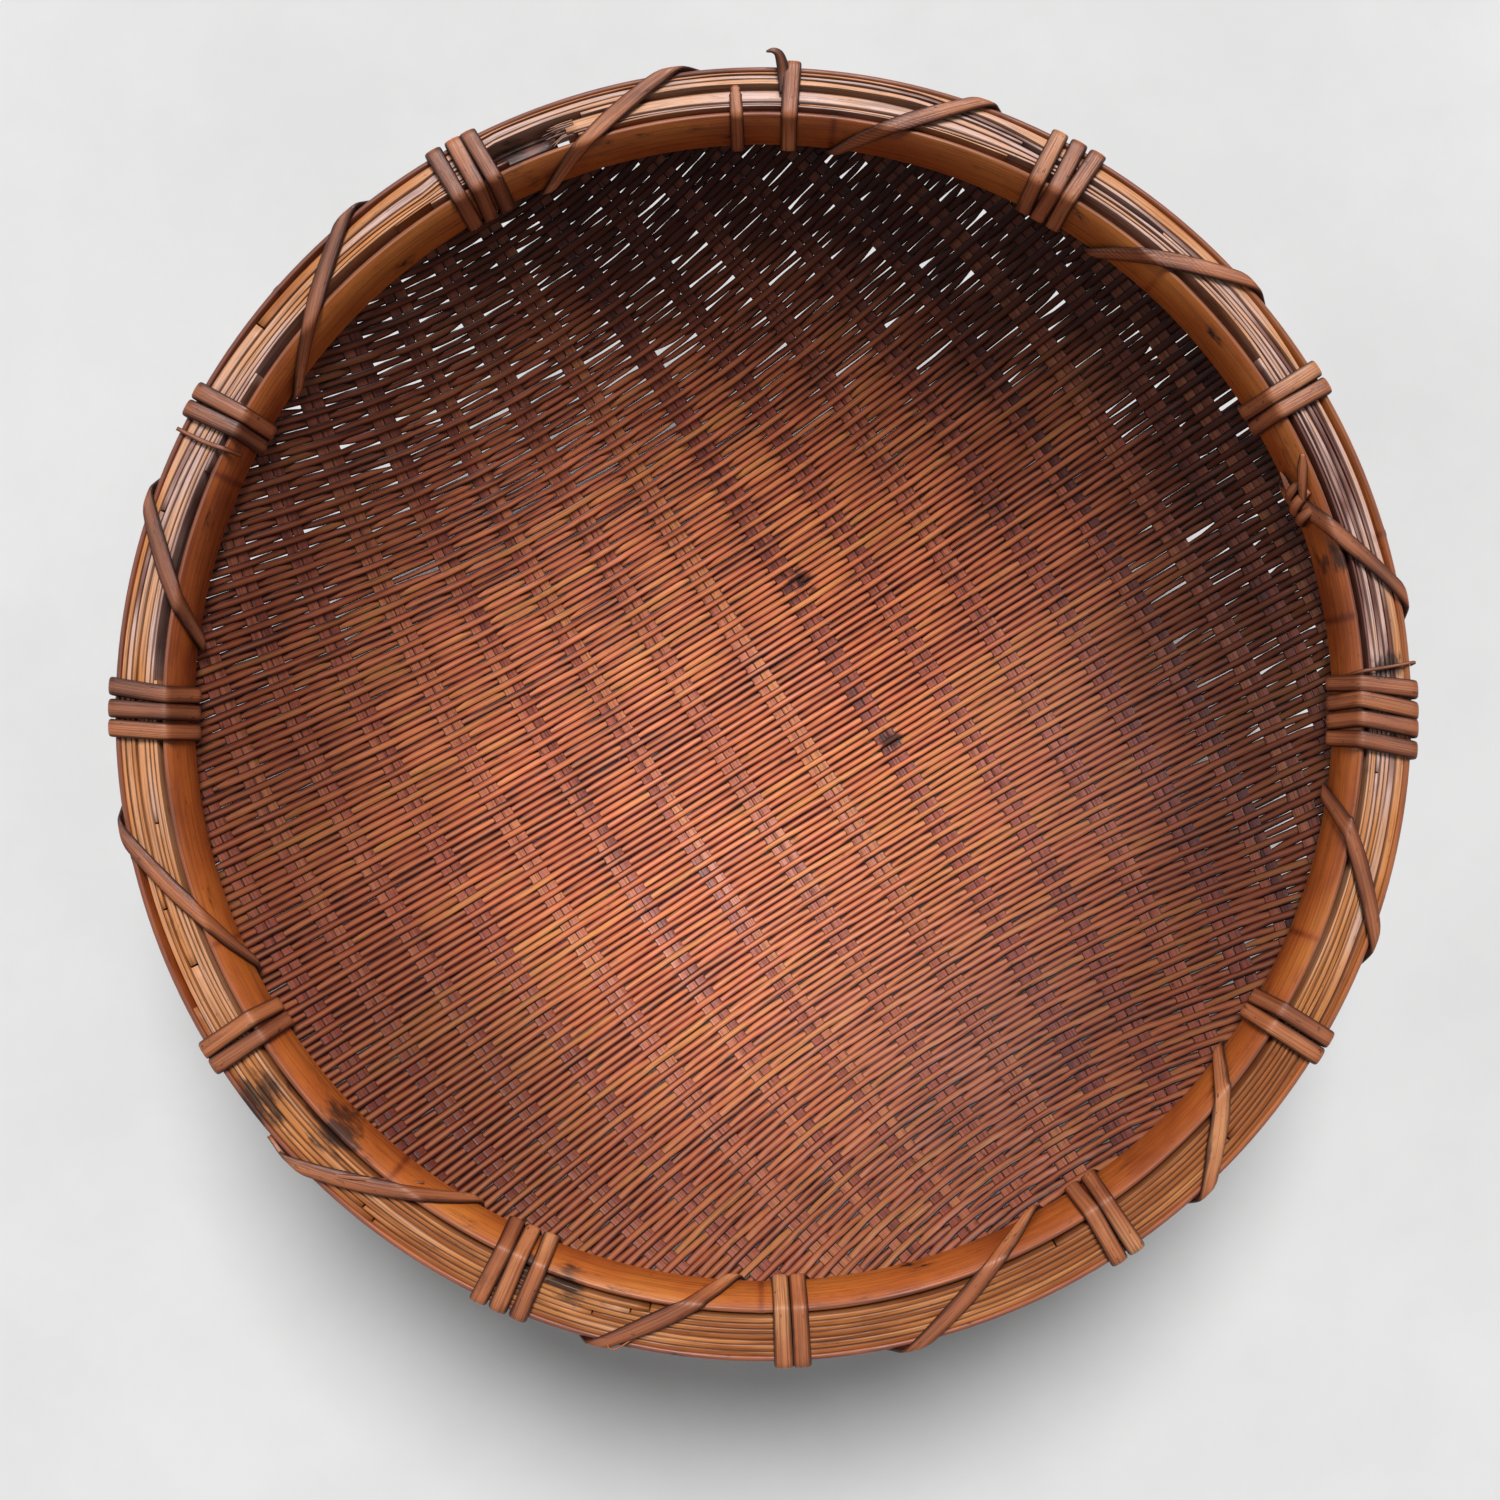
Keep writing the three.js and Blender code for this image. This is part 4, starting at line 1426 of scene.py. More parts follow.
    def __post_init__(self) -> None:
        """Draws the seams between the laths."""
        self.rng = np.random.default_rng(self.seed)
        every = range(self.bowl.lath_count + 1)
        self.seams = [Wobble(self.rng, longest=1.3, terms=5, rounds=True) for _ in every]
        self.slack = [Wobble(self.rng, longest=0.9, terms=4, rounds=True) for _ in every]

    def seam(self, k: int, angles: Array) -> tuple[Array, Array]:
        """The seam before lath number k: its radius, and half of how far it stands open.

        Args:
            k: the lath's number, from the inside.
            angles: places round the rim.

        Returns:
            Both for each place.
        """
        loose = around(self.loose, angles)
        inside = 0 < k < self.bowl.lath_count
        share = around([(at, row[k]) for at, row in self.seams_at], angles)
        fast, added = self.seam_stray
        share = share + inside * (fast + added * loose) * self.seams[k](angles)
        fast, added = self.seam_open
        open_half = fast + added * loose * np.maximum(0, self.seam_often + self.slack[k](angles))
        return self.bowl.first_lath + share * self.bowl.lath_pitch, open_half

    def band(
        self, angles: Array, radius: Array | float, level: Array | float, lean: float, **facts: Any
    ) -> Strand:
        """A strip on edge, bent round the rim.

        Args:
            angles: places round the rim.
            radius: of its inner top edge.
            level: of its top.
            lean: from upright.
            **facts: the strand's height as width, and its other attributes.

        Returns:
            The strand, its face outwards.
        """
        half, deep = np.asarray(facts["width"]) / 2, np.asarray(facts["thickness"]) / 2
        r = radius - math.sin(lean) * half + math.cos(lean) * deep
        z = level - math.cos(lean) * half - math.sin(lean) * deep
        cos, sin = np.cos(angles), np.sin(angles)
        flat = np.zeros_like(cos)
        path = np.stack([r * cos, r * sin, z + flat], axis=-1)
        up = np.stack([math.cos(lean) * cos, math.cos(lean) * sin, flat - math.sin(lean)], axis=-1)
        side = np.stack([math.sin(lean) * cos, math.sin(lean) * sin, flat + math.cos(lean)], axis=-1)
        return Strand(path=path, side=side, up=up, **facts)

    def hoop(
        self, radius: float, lean: float, height: float, thickness: float,
        nodes: Sequence[float], tones: Table,
    ) -> Strand:
        """A whole hoop, with a raised ring at each node of the bamboo.

        Args:
            radius: of its inner top edge.
            lean: from upright.
            height: of the hoop, along its lean.
            thickness: of the hoop between its nodes.
            nodes: where it has them.
            tones: its tone, by the angle in degrees.

        Returns:
            The strand, its face outwards.
        """
        at = np.radians(nodes)
        even = np.linspace(-math.pi, math.pi, self.hoop_places, endpoint=False)
        beside = (at[:, None] + np.radians(self.ring_places)).ravel()
        angles = np.unique(np.round(folded(np.concatenate([even, beside])), ANGLE_PLACES))
        nearest = np.abs(folded(angles[:, None] - at)).min(axis=1) * radius
        ring = bump(nearest, *self.ring) - bump(nearest, *self.groove)
        uneven = Wobble(self.rng, longest=2.4, terms=4, rounds=True)
        shade = around(tones, angles) - bump(nearest, *self.ring_shade)
        shade = shade + self.hoop_hue * uneven(angles)
        return self.band(
            angles, radius, self.bowl.rim_level, lean, width=height, thickness=thickness + ring,
            section=Section.BAND, tone=shade, mark=self.rng.uniform(0, 1), closed=True,
        )

    def lath(self, k: int) -> list[Strand]:
        """The lengths of one lath, from seam to seam, without those that are worn away.

        Args:
            k: its number, from the inside.

        Returns:
            The strands.
        """
        rng = self.rng
        cuts = np.sort(rng.uniform(0, FULL_TURN, 2)) + rng.uniform(-math.pi, math.pi)
        lengths = []
        for first, last in ((cuts[0], cuts[1]), (cuts[1], cuts[0] + FULL_TURN)):
            count = max(self.lath_least, int((last - first) / math.radians(self.lath_step)))
            angles = np.linspace(first + self.butt, last - self.butt, count)
            degrees = folded(np.degrees(angles), 360)
            gone = np.zeros(count, dtype=bool)
            for lath, low, high in self.missing:
                gone |= (lath == k) & (degrees > low) & (degrees < high)
            runs = np.split(np.arange(count), np.flatnonzero(np.diff(gone)) + 1)
            for run in (run for run in runs if len(run) > self.run_least):
                if not gone[run[0]]:
                    lengths.append(self._lath_length(k, angles[run]))
                elif abs(np.mean(degrees[run]) - self.hole_at) < self.hole_reach:
                    lengths.append(self._lath_length(k, angles[run], self.hole_depth))
        return lengths

    def _lath_length(self, k: int, angles: Array, sunk: float = 0.0) -> Strand:
        """One length of a lath.

        Args:
            k: the lath's number, from the inside.
            angles: places round the rim.
            sunk: how far its top is worn down; it also darkens the length, as painted shade in the
                hollow.

        Returns:
            The strand, its face outwards.
        """
        rng, bowl = self.rng, self.bowl
        drop, hue = Wobble(rng, longest=1.3, terms=4), Wobble(rng, longest=0.8, terms=4)
        inner, open_inner = self.seam(k, angles)
        outer, open_outer = self.seam(k + 1, angles)
        room = (outer - inner - open_inner - open_outer) * math.cos(bowl.outer_lean)
        loose = around(self.loose, angles)
        fast, added = self.lath_sink
        sink = (fast + added * loose) * (1 + drop(angles))
        sink = sink * (1 - self.lath_lift + self.lath_lift * (k % 2))
        level = bowl.rim_level - self.lath_drop - sink
        # The tone by angle holds a painted sheen on the upper laths as well as their gold.
        tone = around(self.gold_and_sheen, angles) + self.lath_hue * hue(angles)
        tone = tone + rng.uniform(-self.lath_hue, self.lath_hue)
        # A sunk length is darkened to the lowest tone: painted shade in the hole.
        tone = tone + self.outer_gold * (k == bowl.lath_count - 1) - sunk
        inner = inner - math.sin(bowl.outer_lean) * sunk
        return self.band(
            angles, inner + open_inner, level - sunk, bowl.outer_lean, width=bowl.lath_height - sunk,
            thickness=np.maximum(room, self.thinnest), section=Section.LATH,
            tone=np.clip(tone, 0, 1), mark=rng.uniform(0, 1),
        )

    def build(self, hoop_finish: bpy.types.Material, lath_finish: bpy.types.Material) -> None:
        """Makes the two hoops and the laths.

        Args:
            hoop_finish: of both hoops.
            lath_finish: of the laths.
        """
        bowl = self.bowl
        outer = self.hoop(
            bowl.laths_outer, bowl.outer_lean, bowl.outer_height, bowl.outer_thickness,
            self.outer_nodes, self.edge_tone,
        )
        inner = self.hoop(
            bowl.inner_hoop, bowl.inner_lean, bowl.inner_height, bowl.inner_thickness,
            self.inner_nodes, self.hoop_tone_and_light,
        )
        for name, strand, node in (
            ("hoop_outer", outer, "outer_hoop"),
            ("hoop_inner", inner, "inner_hoop"),
        ):
            mesh = StrandMesh(name)
            mesh.add(strand)
            mesh.piece(hoop_finish, [node])
        for k in range(bowl.lath_count):
            mesh = StrandMesh(f"laths_{k + 1:02d}")
            for strand in self.lath(k):
                mesh.add(strand)
            mesh.piece(lath_finish, [f"rim_lath_{k + 1:02d}"])


class Corner(Enum):
    """The corners of the rim's section, in the order that the lashing passes them."""

    OUTER_FOOT = 0
    OUTER_EDGE = 1
    INNER_EDGE = 2
    INNER_FOOT = 3


@dataclass(frozen=True)
class Station:
    """A group of wraps.

    Attributes:
        at: its middle, in degrees.
        wraps: how many there are.
        tone: their tone.
        skew: how far their inner side runs ahead, in turns of pitch.
        cross_in: where the crossing passes the inner edge, as a share of the way to the next.
        arrive: turns of pitch from its end to the next station's first wrap.
        ribbed: whether the crossing has ribs.
    """

    at: float
    wraps: int
    tone: float
    skew: float = 0.0
    cross_in: float = 0.64
    arrive: float = 2.5
    ribbed: bool = False


@dataclass(frozen=True)
class Ribs:
    """The ribs across some crossings, along the strip.

    Attributes:
        step: from one rib to the next, in millimetres.
        begin: where they begin, as a share of the crossing's way.
        fade: over how much more of it they come up.
        lighter: how much lighter such a crossing is.
        darker: how much darker a furrow is.
        deeper: how much thinner the strip is in it, as a share.
    """

    step: float = 2.1
    begin: float = 0.42
    fade: float = 0.08
    lighter: float = 0.12
    darker: float = 0.55
    deeper: float = 0.14

    def furrows(self, path: Array, share: Array) -> Array:
        """How deep in a furrow each place of the strip is, at those shares of the way."""
        wave = np.sin(travelled(path) * FULL_TURN / self.step)
        return (0.5 + 0.5 * wave) * smooth((share - self.begin) / self.fade)


@dataclass(frozen=True)
class Remainder:
    """What is left of a wrap that is worn away.

    Attributes:
        at: where it lies, in degrees.
        cut: how many places go from the wrap's start and from its end.
        lost: share of the rest that is worn away from its start.
        width: of what is left, in millimetres.
        torn: its width as a share, by the place along it.
        tone: of its colour.
    """

    at: float = 92.8
    cut: tuple[int, int] = (4, 1)
    lost: float = 0.2
    width: float = 5.2
    torn: Table = ((0, 0.5), (1, 0.85), (2, 0.7), (3, 0.95), (5, 0.9), (8, 1))
    tone: float = 0.7


@dataclass
class Lashing:
    """The rattan strip that is wound round the rim, in one length for each station.

    Attributes:
        bowl: the form whose rim it holds.
        width: of the strip.
        thickness: of the strip.
        gap: from the rim to the strip.
        space: between turns.
        stations: the groups of wraps, counter-clockwise.
        cross_out: where a crossing passes the outer edge, as a share from station to station.
        leave: turns of pitch from the last wrap to the crossing.
        narrowing: how much the strip turns on edge where it slants.
        remainder: what is left of the wrap that is worn away.
        bend: how softly the strip bends, in millimetres.
        bend_room: how much further out its corners are for that, as a share of the bend.
        corner_shares: its places at a corner, from the side before it to the side after it.
        spacing: from one place along the strip to the next.
        soften: over how many places to each side it is rounded.
        ribs: the ribs of some crossings.
        stray: how far a wrap strays from its place, in turns of pitch.
        crossing_width: a crossing's width as a share, by the share of its way.
        crossing_cut: how many places go from the start and the end of a length.
        slant_sink: how much closer to the rim it lies where it slants.
        fan: how much its width follows the wraps' fanning out.
        swell: how far its width varies, as a share.
        hue: how far its tone varies.
        seed: of the random draws.
    """

    bowl: Bowl
    width: float = 6.5
    thickness: float = 1.7
    gap: float = 0.21
    space: float = 0.3
    stations: tuple[Station, ...] = (
        Station(-179.3, 3, 0.35, 0.4), Station(-147.1, 2, 0.6), Station(-113.6, 3, 0.65),
        Station(-87.6, 2, 0.75), Station(-56.8, 2, 0.7), Station(-32.0, 2, 0.55),
        Station(-1.9, 4, 0.5, 0.45, 0.58, 4.0), Station(30.1, 2, 0.55, cross_in=0.62, ribbed=True),
        Station(60.5, 3, 0.5, ribbed=True),
        Station(87.6, 1, 0.62), Station(119.4, 3, 0.4), Station(152.3, 2, 0.35),
    )
    cross_out: float = 0.34
    leave: float = 2.0
    narrowing: float = 0.13
    remainder: Remainder = Remainder()
    bend: float = 1.5
    bend_room: float = 0.3
    corner_shares: tuple[float, ...] = (0, 0.25, 0.5, 0.75, 1)
    spacing: float = 1.1
    soften: int = 4
    ribs: Ribs = Ribs()
    stray: float = 0.09
    crossing_width: Table = (
        (0, 1), (0.2, 0.9), (0.34, 0.84), (0.5, 1.15), (0.68, 1.05), (0.82, 0.6),
    )
    crossing_cut: tuple[int, int] = (0, 4)
    slant_sink: float = 0.4
    fan: float = 0.6
    swell: float = 0.02
    hue: float = 0.2
    seed: int = 11

    def __post_init__(self) -> None:
        """Works out the section that the strip goes round."""
        self.rng = np.random.default_rng(self.seed)
        bowl = self.bowl
        outer = np.array([math.sin(bowl.outer_lean), math.cos(bowl.outer_lean)])
        inner = np.array([math.sin(bowl.inner_lean), math.cos(bowl.inner_lean)])
        outer_top = np.array([bowl.rim_radius, bowl.rim_level])
        inner_top = np.array([bowl.inner_hoop, bowl.rim_level])
        outer_foot = outer_top - outer * bowl.outer_height
        inner_foot = inner_top - inner * bowl.inner_height
        self.corners = np.array([outer_foot, outer_top, inner_top, inner_foot])
        runs = unit(np.roll(self.corners, -1, axis=0) - self.corners)
        self.outward = np.stack([runs[:, 1], -runs[:, 0]], axis=1)
        self.step = (self.width + self.space) / self.corners[Corner.INNER_FOOT.value][0]

    def turn(
        self, corner: Corner, angle: float
    ) -> list[tuple[Array, Array, float | None]]:
        """The places where the strip goes over one corner, in the section's plane.

        Args:
            corner: the corner.
            angle: where it passes it, round the rim.

        Returns:
            Each place, its outward side, and its angle where that is fixed.
        """
        before = self.outward[corner.value - 1]
        after = self.outward[corner.value]
        at = self.corners[corner.value]
        away = self.gap + self.thickness / 2 + self.bend * self.bend_room
        places = []
        for share in self.corner_shares:
            side = unit((1 - share) * before + share * after)
            places.append((at + side * away, side, angle if share == 0.5 else None))
        return places

    def strip(
        self, visits: Sequence[tuple[Corner, float]], cut: tuple[int, int], tone: float
    ) -> Strand:
        """The strip that passes those corners at those angles round the rim.

        Args:
            visits: corners and angles, in the order that they are passed.
            cut: how many places go from the start and from the end.
            tone: its mean tone.

        Returns:
            The strand.
        """
        turns = [place for corner, angle in visits for place in self.turn(corner, angle)]
        at = np.array([place[0] for place in turns])
        sides = np.array([place[1] for place in turns])
        fixed = {i: place[2] for i, place in enumerate(turns) if place[2] is not None}
        fixed[0], fixed[len(turns) - 1] = visits[0][1], visits[-1][1]
        way = travelled(at)
        known = sorted(fixed)
        angles = np.interp(way, way[known], [fixed[i] for i in known])
        kept = slice(cut[0], len(turns) - cut[1])
        strand = self._wound(at[kept], sides[kept], angles[kept])
        strand.tone = np.clip(tone + strand.tone, 0, 1)
        return strand

    def _wound(self, at: Array, sides: Array, angles: Array) -> Strand:
        """The strip through some places, with more of them between.

        Args:
            at: the places, in the section's plane.
            sides: its outward side at each.
            angles: where each is, round the rim.

        Returns:
            The strand, with its tone as a difference from the mean.
        """
        advance = np.diff(angles) * at[1:, 0]
        way = np.linalg.norm(np.diff(at, axis=0), axis=1)
        slants = np.hypot(1, advance / np.maximum(way, LEAST_REACH))
        slant = np.maximum(np.append(slants[:1], slants), np.append(slants, slants[-1:]))
        counts = np.maximum(1, np.ceil(np.hypot(advance, way) / self.spacing).astype(int))
        knots = np.concatenate([np.arange(c) / c + i for i, c in enumerate(counts)] + [[len(at) - 1]])
        rows = np.column_stack([at, sides, angles, slant])
        laid = np.stack([np.interp(knots, np.arange(len(at)), row) for row in rows.T])
        reach = np.arange(-self.soften, self.soften + 1) * self.spacing / self.bend
        weights = np.exp(-reach**2 / 2) / np.exp(-reach**2 / 2).sum()
        r, z, side_r, side_z, angle, slant = (
            np.convolve(np.pad(row, self.soften, mode="edge"), weights, mode="valid")
            for row in laid
        )
        side = unit(np.stack([side_r, side_z], axis=1))
        cos, sin = np.cos(angle), np.sin(angle)
        path = np.stack([r * cos, r * sin, z], axis=-1)
        up = np.stack([side[:, 0] * cos, side[:, 0] * sin, side[:, 1]], axis=-1)
        across = np.stack([-sin, cos, np.zeros_like(cos)], axis=-1) * slant[:, None]
        uneven = Wobble(self.rng, longest=60.0)
        run = travelled(path)
        path = path - up * self.slant_sink * np.clip(slant - 1, 0, 1)[:, None]
        fan = 1 - self.fan + self.fan * r / self.corners[Corner.INNER_FOOT.value][0]
        width = self.width * fan * (1 - self.swell + self.swell * uneven(run))
        return Strand(
            path=path, side=across, up=up, width=width / (1 + self.narrowing * (slant - 1)),
            thickness=self.thickness, section=Section.DOMED,
            tone=self.hue * uneven(run / 2), mark=self.rng.uniform(0, 1),
        )

    def length(self, index: int) -> Strand:
        """The wraps of one station and the crossing to the next.

        Args:
            index: the station's.

        Returns:
            One unbroken strand.
        """
        here, following = self.stations[index], self.stations[(index + 1) % len(self.stations)]
        lap = FULL_TURN if index + 1 == len(self.stations) else 0.0
        middle, ahead = math.radians(here.at), math.radians(following.at) + lap
        half = (here.wraps - 1) / 2 * self.step
        first_ahead = ahead - (following.wraps - 1) / 2 * self.step
        skew = {Corner.INNER_EDGE: here.skew * self.step, Corner.INNER_FOOT: here.skew * self.step}
        stray = self.rng.uniform(-self.stray, self.stray, (here.wraps, len(Corner))) * self.step
        visits = []
        for wrap in range(here.wraps):
            for corner in Corner:
                place = middle - half + wrap * self.step + skew.get(corner, 0)
                visits.append((corner, place + stray[wrap][corner.value]))
        span = ahead - middle
        visits += [
            (Corner.OUTER_FOOT, middle + half + self.leave * self.step),
            (Corner.OUTER_EDGE, middle + self.cross_out * span),
            (Corner.INNER_EDGE, middle + here.cross_in * span),
            (Corner.INNER_FOOT, first_ahead - here.arrive * self.step),
            (Corner.OUTER_FOOT, first_ahead),
        ]
        strand = self.strip(visits, self.crossing_cut, here.tone)
        places = np.arctan2(strand.path[:, 1], strand.path[:, 0])
        past = (places - middle - half + 1) % FULL_TURN - 1
        share = past / (span - half)
        strand.width = strand.width * np.interp(share, *np.array(self.crossing_width).T)
        if here.ribbed:
            deep = self.ribs.furrows(strand.path, share)
            tone = strand.tone + self.ribs.lighter - self.ribs.darker * deep
            strand.tone = np.clip(tone, 0, 1)
            strand.thickness = self.thickness * (1 - self.ribs.deeper * deep)
        return strand

    def loose_strip(self) -> Strand:
        """The worn remainder of a wrap, over the inner edge and down the inner hoop.

        Returns:
            The strand.
        """
        rest = self.remainder
        angle = math.radians(rest.at)
        passed = (Corner.OUTER_EDGE, Corner.INNER_EDGE, Corner.INNER_FOOT)
        strand = self.strip([(corner, angle) for corner in passed], rest.cut, rest.tone)
        keep = slice(int(len(strand.path) * rest.lost), None)
        strand.path, strand.side, strand.up = strand.path[keep], strand.side[keep], strand.up[keep]
        along = np.arange(len(strand.path))
        strand.width = np.interp(along, *np.array(rest.torn).T) * rest.width
        strand.tone = strand.tone[keep]
        return strand

    def build(self, finish: bpy.types.Material) -> None:
        """Makes the lengths and the loose strip.

        Args:
            finish: of the rattan.
        """
        for index in range(len(self.stations)):
            mesh = StrandMesh(f"wraps_{index + 1:02d}")
            mesh.add(self.length(index))
            mesh.piece(finish, [f"lashing_{index + 1:02d}"])
        mesh = StrandMesh("strip_loose")
        mesh.add(self.loose_strip())
        mesh.piece(finish, ["loose_strip"])


@dataclass(frozen=True)
class Scrap:
    """A worn strip or fibre.

    Attributes:
        places: angle in degrees, radius and height above the rim, for a few points.
        widths: of the strip at those points.
        thickness: of the strip.
        tone: of its colour.
    """

    places: tuple[Triple, ...]
    widths: tuple[float, ...]
    thickness: float
    tone: float


@dataclass(frozen=True)
class Splinters:
    """Splinters at the laths' broken end; pairs are least and greatest values.

    Attributes:
        count: how many there are.
        at: where their root, middle and tip would be without their reach, in degrees.
        radius: of their root, in millimetres.
        height: of their root above the rim.
        reach: how far their tip stands out, in degrees.
        middle: how far their middle does, as a share of that.
        outwards: how far their tip strays outwards.
        upwards: how far it strays upwards.
        width: of their root.
        tip: width of their tip.
        thickness: of a splinter.
        tone: of its colour.
    """

    count: int = 16
    at: Triple = (108.4, 109.4, 109.6)
    radius: Pair = (225.5, 231.5)
    height: Pair = (-4.5, -0.6)
    reach: Pair = (0.7, 2.4)
    middle: float = 0.3
    outwards: Pair = (-2.2, 1.2)
    upwards: Pair = (-2.5, 1.2)
    width: Pair = (0.35, 1.0)
    tip: float = 0.15
    thickness: float = 0.35
    tone: Pair = (0.05, 0.5)

    def drawn(self, rng: np.random.Generator) -> Scrap:
        """Draws one splinter.

        Args:
            rng: where the draws come from.

        Returns:
            The splinter.
        """
        draw = rng.uniform
        radius, height, reach = draw(*self.radius), draw(*self.height), draw(*self.reach)
        root, middle, tip = self.at
        places = (
            (root, radius, height),
            (middle + reach * self.middle, radius, height),
            (tip + reach, radius + draw(*self.outwards), height + draw(*self.upwards)),
        )
        width = draw(*self.width)
        return Scrap(places, (width, width, self.tip), self.thickness, draw(*self.tone))


@dataclass
class Trim:
    """The small worn things: a tail, a knot, splinters and loose fibres of the lashing.

    Attributes:
        bowl: the form that they lie on.
        tail: the curled end that stands out at the top.
        knot: the strips of the knot at the right.
        fibres: thin ends beside the wraps.
        splinters: those that stand out of the broken laths.
        fineness: how many places a strip has for each that is given.
        turned_in: how far its face turns inwards, by its height above the rim.
        start: how far its thinner start reaches, in given places, and its thickness as a share.
        finish: the same for its end.
        seed: of the random draws.
    """

    bowl: Bowl
    tail: Scrap = Scrap(
        ((88.1, 229.0, 0.7), (88.3, 236.0, 1.6), (88.5, 240.0, 3.0), (88.8, 242.6, 4.2),
         (89.3, 243.6, 4.8), (89.9, 243.4, 4.4)),
        (4.4, 4.6, 4.4, 3.6, 2.2, 0.7), 0.9, 0.05,
    )
    knot: tuple[Scrap, ...] = (
        Scrap(((24.5, 220.2, 1.6), (23.4, 218.9, -0.2), (22.3, 217.6, -2.0), (21.2, 216.6, -3.8),
               (20.2, 216.0, -5.6)), (2.0, 3.8, 4.0, 3.6, 2.6), 1.5, 0.6),
        Scrap(((19.2, 219.2, -3.6), (19.0, 216.2, -5.6), (18.7, 214.1, -8.4), (18.4, 213.9, -10.8),
               (18.2, 215.2, -13.0)), (3.0, 4.2, 4.6, 4.2, 3.2), 1.7, 0.5),
        Scrap(((21.0, 219.0, -4.0), (20.6, 215.8, -5.8), (20.1, 213.7, -8.4), (19.6, 213.5, -10.8),
               (19.2, 215.0, -13.0)), (3.0, 4.4, 4.8, 4.4, 3.2), 1.7, 0.62),
        Scrap(((22.2, 218.6, -5.0), (21.9, 215.9, -6.6), (21.5, 214.1, -9.0), (21.1, 213.9, -11.0),
               (20.7, 215.0, -13.2)), (2.4, 3.8, 4.2, 3.8, 2.8), 1.6, 0.45),
        Scrap(((23.9, 215.0, -11.4), (23.1, 214.6, -10.4), (22.3, 214.2, -9.8), (21.5, 214.0, -9.6)),
              (0.8, 2.2, 2.8, 2.8), 1.3, 0.4),
    )
    fibres: tuple[Scrap, ...] = (
        Scrap(((2.3, 217.5, -8.0), (2.6, 220.8, 1.2), (2.9, 231.0, 1.2), (3.2, 240.8, 0.6),
               (3.0, 241.4, -4.0)), (1.2, 1.4, 1.3, 1.2, 0.8), 0.5, 0.3),
        Scrap(((-97.3, 219.0, -1.6), (-99.1, 225.0, 0.9), (-101.3, 234.0, 1.2), (-102.9, 240.4, 1.4),
               (-103.7, 239.4, 1.8), (-102.9, 233.0, 1.0)), (0.5, 0.8, 0.8, 0.7, 0.6, 0.4), 0.4, 0.75),
        Scrap(((-138.6, 240.6, -1.0), (-135.6, 240.4, 1.0), (-132.6, 234.0, 1.4), (-129.4, 225.5, 1.3),
               (-125.2, 217.4, -7.5)), (1.6, 1.9, 1.8, 1.8, 1.2), 0.7, 0.5),
        Scrap(((155.0, 217.2, -6.5), (155.2, 220.8, 1.2), (155.4, 230.0, 1.4), (155.3, 240.8, 0.8)),
              (1.6, 1.9, 1.9, 1.5), 0.7, 0.3),
    )
    splinters: Splinters = Splinters()
    fineness: int = 6
    turned_in: Table = ((-4, 1.6), (1.5, 0))
    start: Pair = (0.2, 0.7)
    finish: Pair = (0.3, 0.5)
    seed: int = 3

    def __post_init__(self) -> None:
        """Starts the random draws."""
        self.rng = np.random.default_rng(self.seed)

    def bent(self, scrap: Scrap) -> Strand:
        """The strand through a scrap's places, rounded between them.

        Args:
            scrap: the worn strip.

        Returns:
            The strand.
        """
        places = np.array(scrap.places)
        turned = np.radians(places[:, 0])
        rim = places[:, 1]
        height = places[:, 2] + self.bowl.rim_level
        points = np.stack([rim * np.cos(turned), rim * np.sin(turned), height], axis=1)
        last = len(points) - 1
        steps = np.linspace(0, last, self.fineness * len(points))
        left = np.minimum(steps.astype(int), last - 1)
        share = (steps - left)[:, None]
        runs = np.gradient(points, axis=0)
        ahead = points[left + 1] - points[left]
        swing = (runs[left] - ahead) * (1 - share) - (runs[left + 1] - ahead) * share
        path = points[left] + ahead * share + share * (1 - share) * swing
        flat = path * [1, 1, 0]
        above = path[:, 2] - self.bowl.rim_level
        inwards = np.interp(above, *np.array(self.turned_in).T)[:, None]
        face = unit(np.array([0.0, 0.0, 1.0]) - unit(flat) * inwards)
        width = np.interp(steps, np.arange(len(points)), scrap.widths)
        (starting, thin), (ending, thinner) = self.start, self.finish
        ends = np.interp(steps, [0, starting, last - ending, last], [thin, 1, 1, thinner])
        return Strand.along(
            path, face, width=width, thickness=scrap.thickness * ends, section=Section.DOMED,
            tone=scrap.tone, mark=self.rng.uniform(0, 1),
        )

    def build(self, rattan: bpy.types.Material, lath: bpy.types.Material) -> None:
        """Makes the four pieces.

        Args:
            rattan: its finish.
            lath: the laths' finish.
        """
        broken = [self.splinters.drawn(self.rng) for _ in range(self.splinters.count)]
        for name, scraps, finish, slot in (
            ("tail_top", (self.tail,), rattan, Slot.RATTAN),
            ("knot_right", self.knot, rattan, Slot.RATTAN),
            ("fibres_loose", self.fibres, rattan, Slot.RATTAN),
            ("laths_splinters", broken, lath, Slot.LATH),
        ):
            mesh = StrandMesh(name)
            for scrap in scraps:
                mesh.add(self.bent(scrap))
            mesh.piece(finish, [])


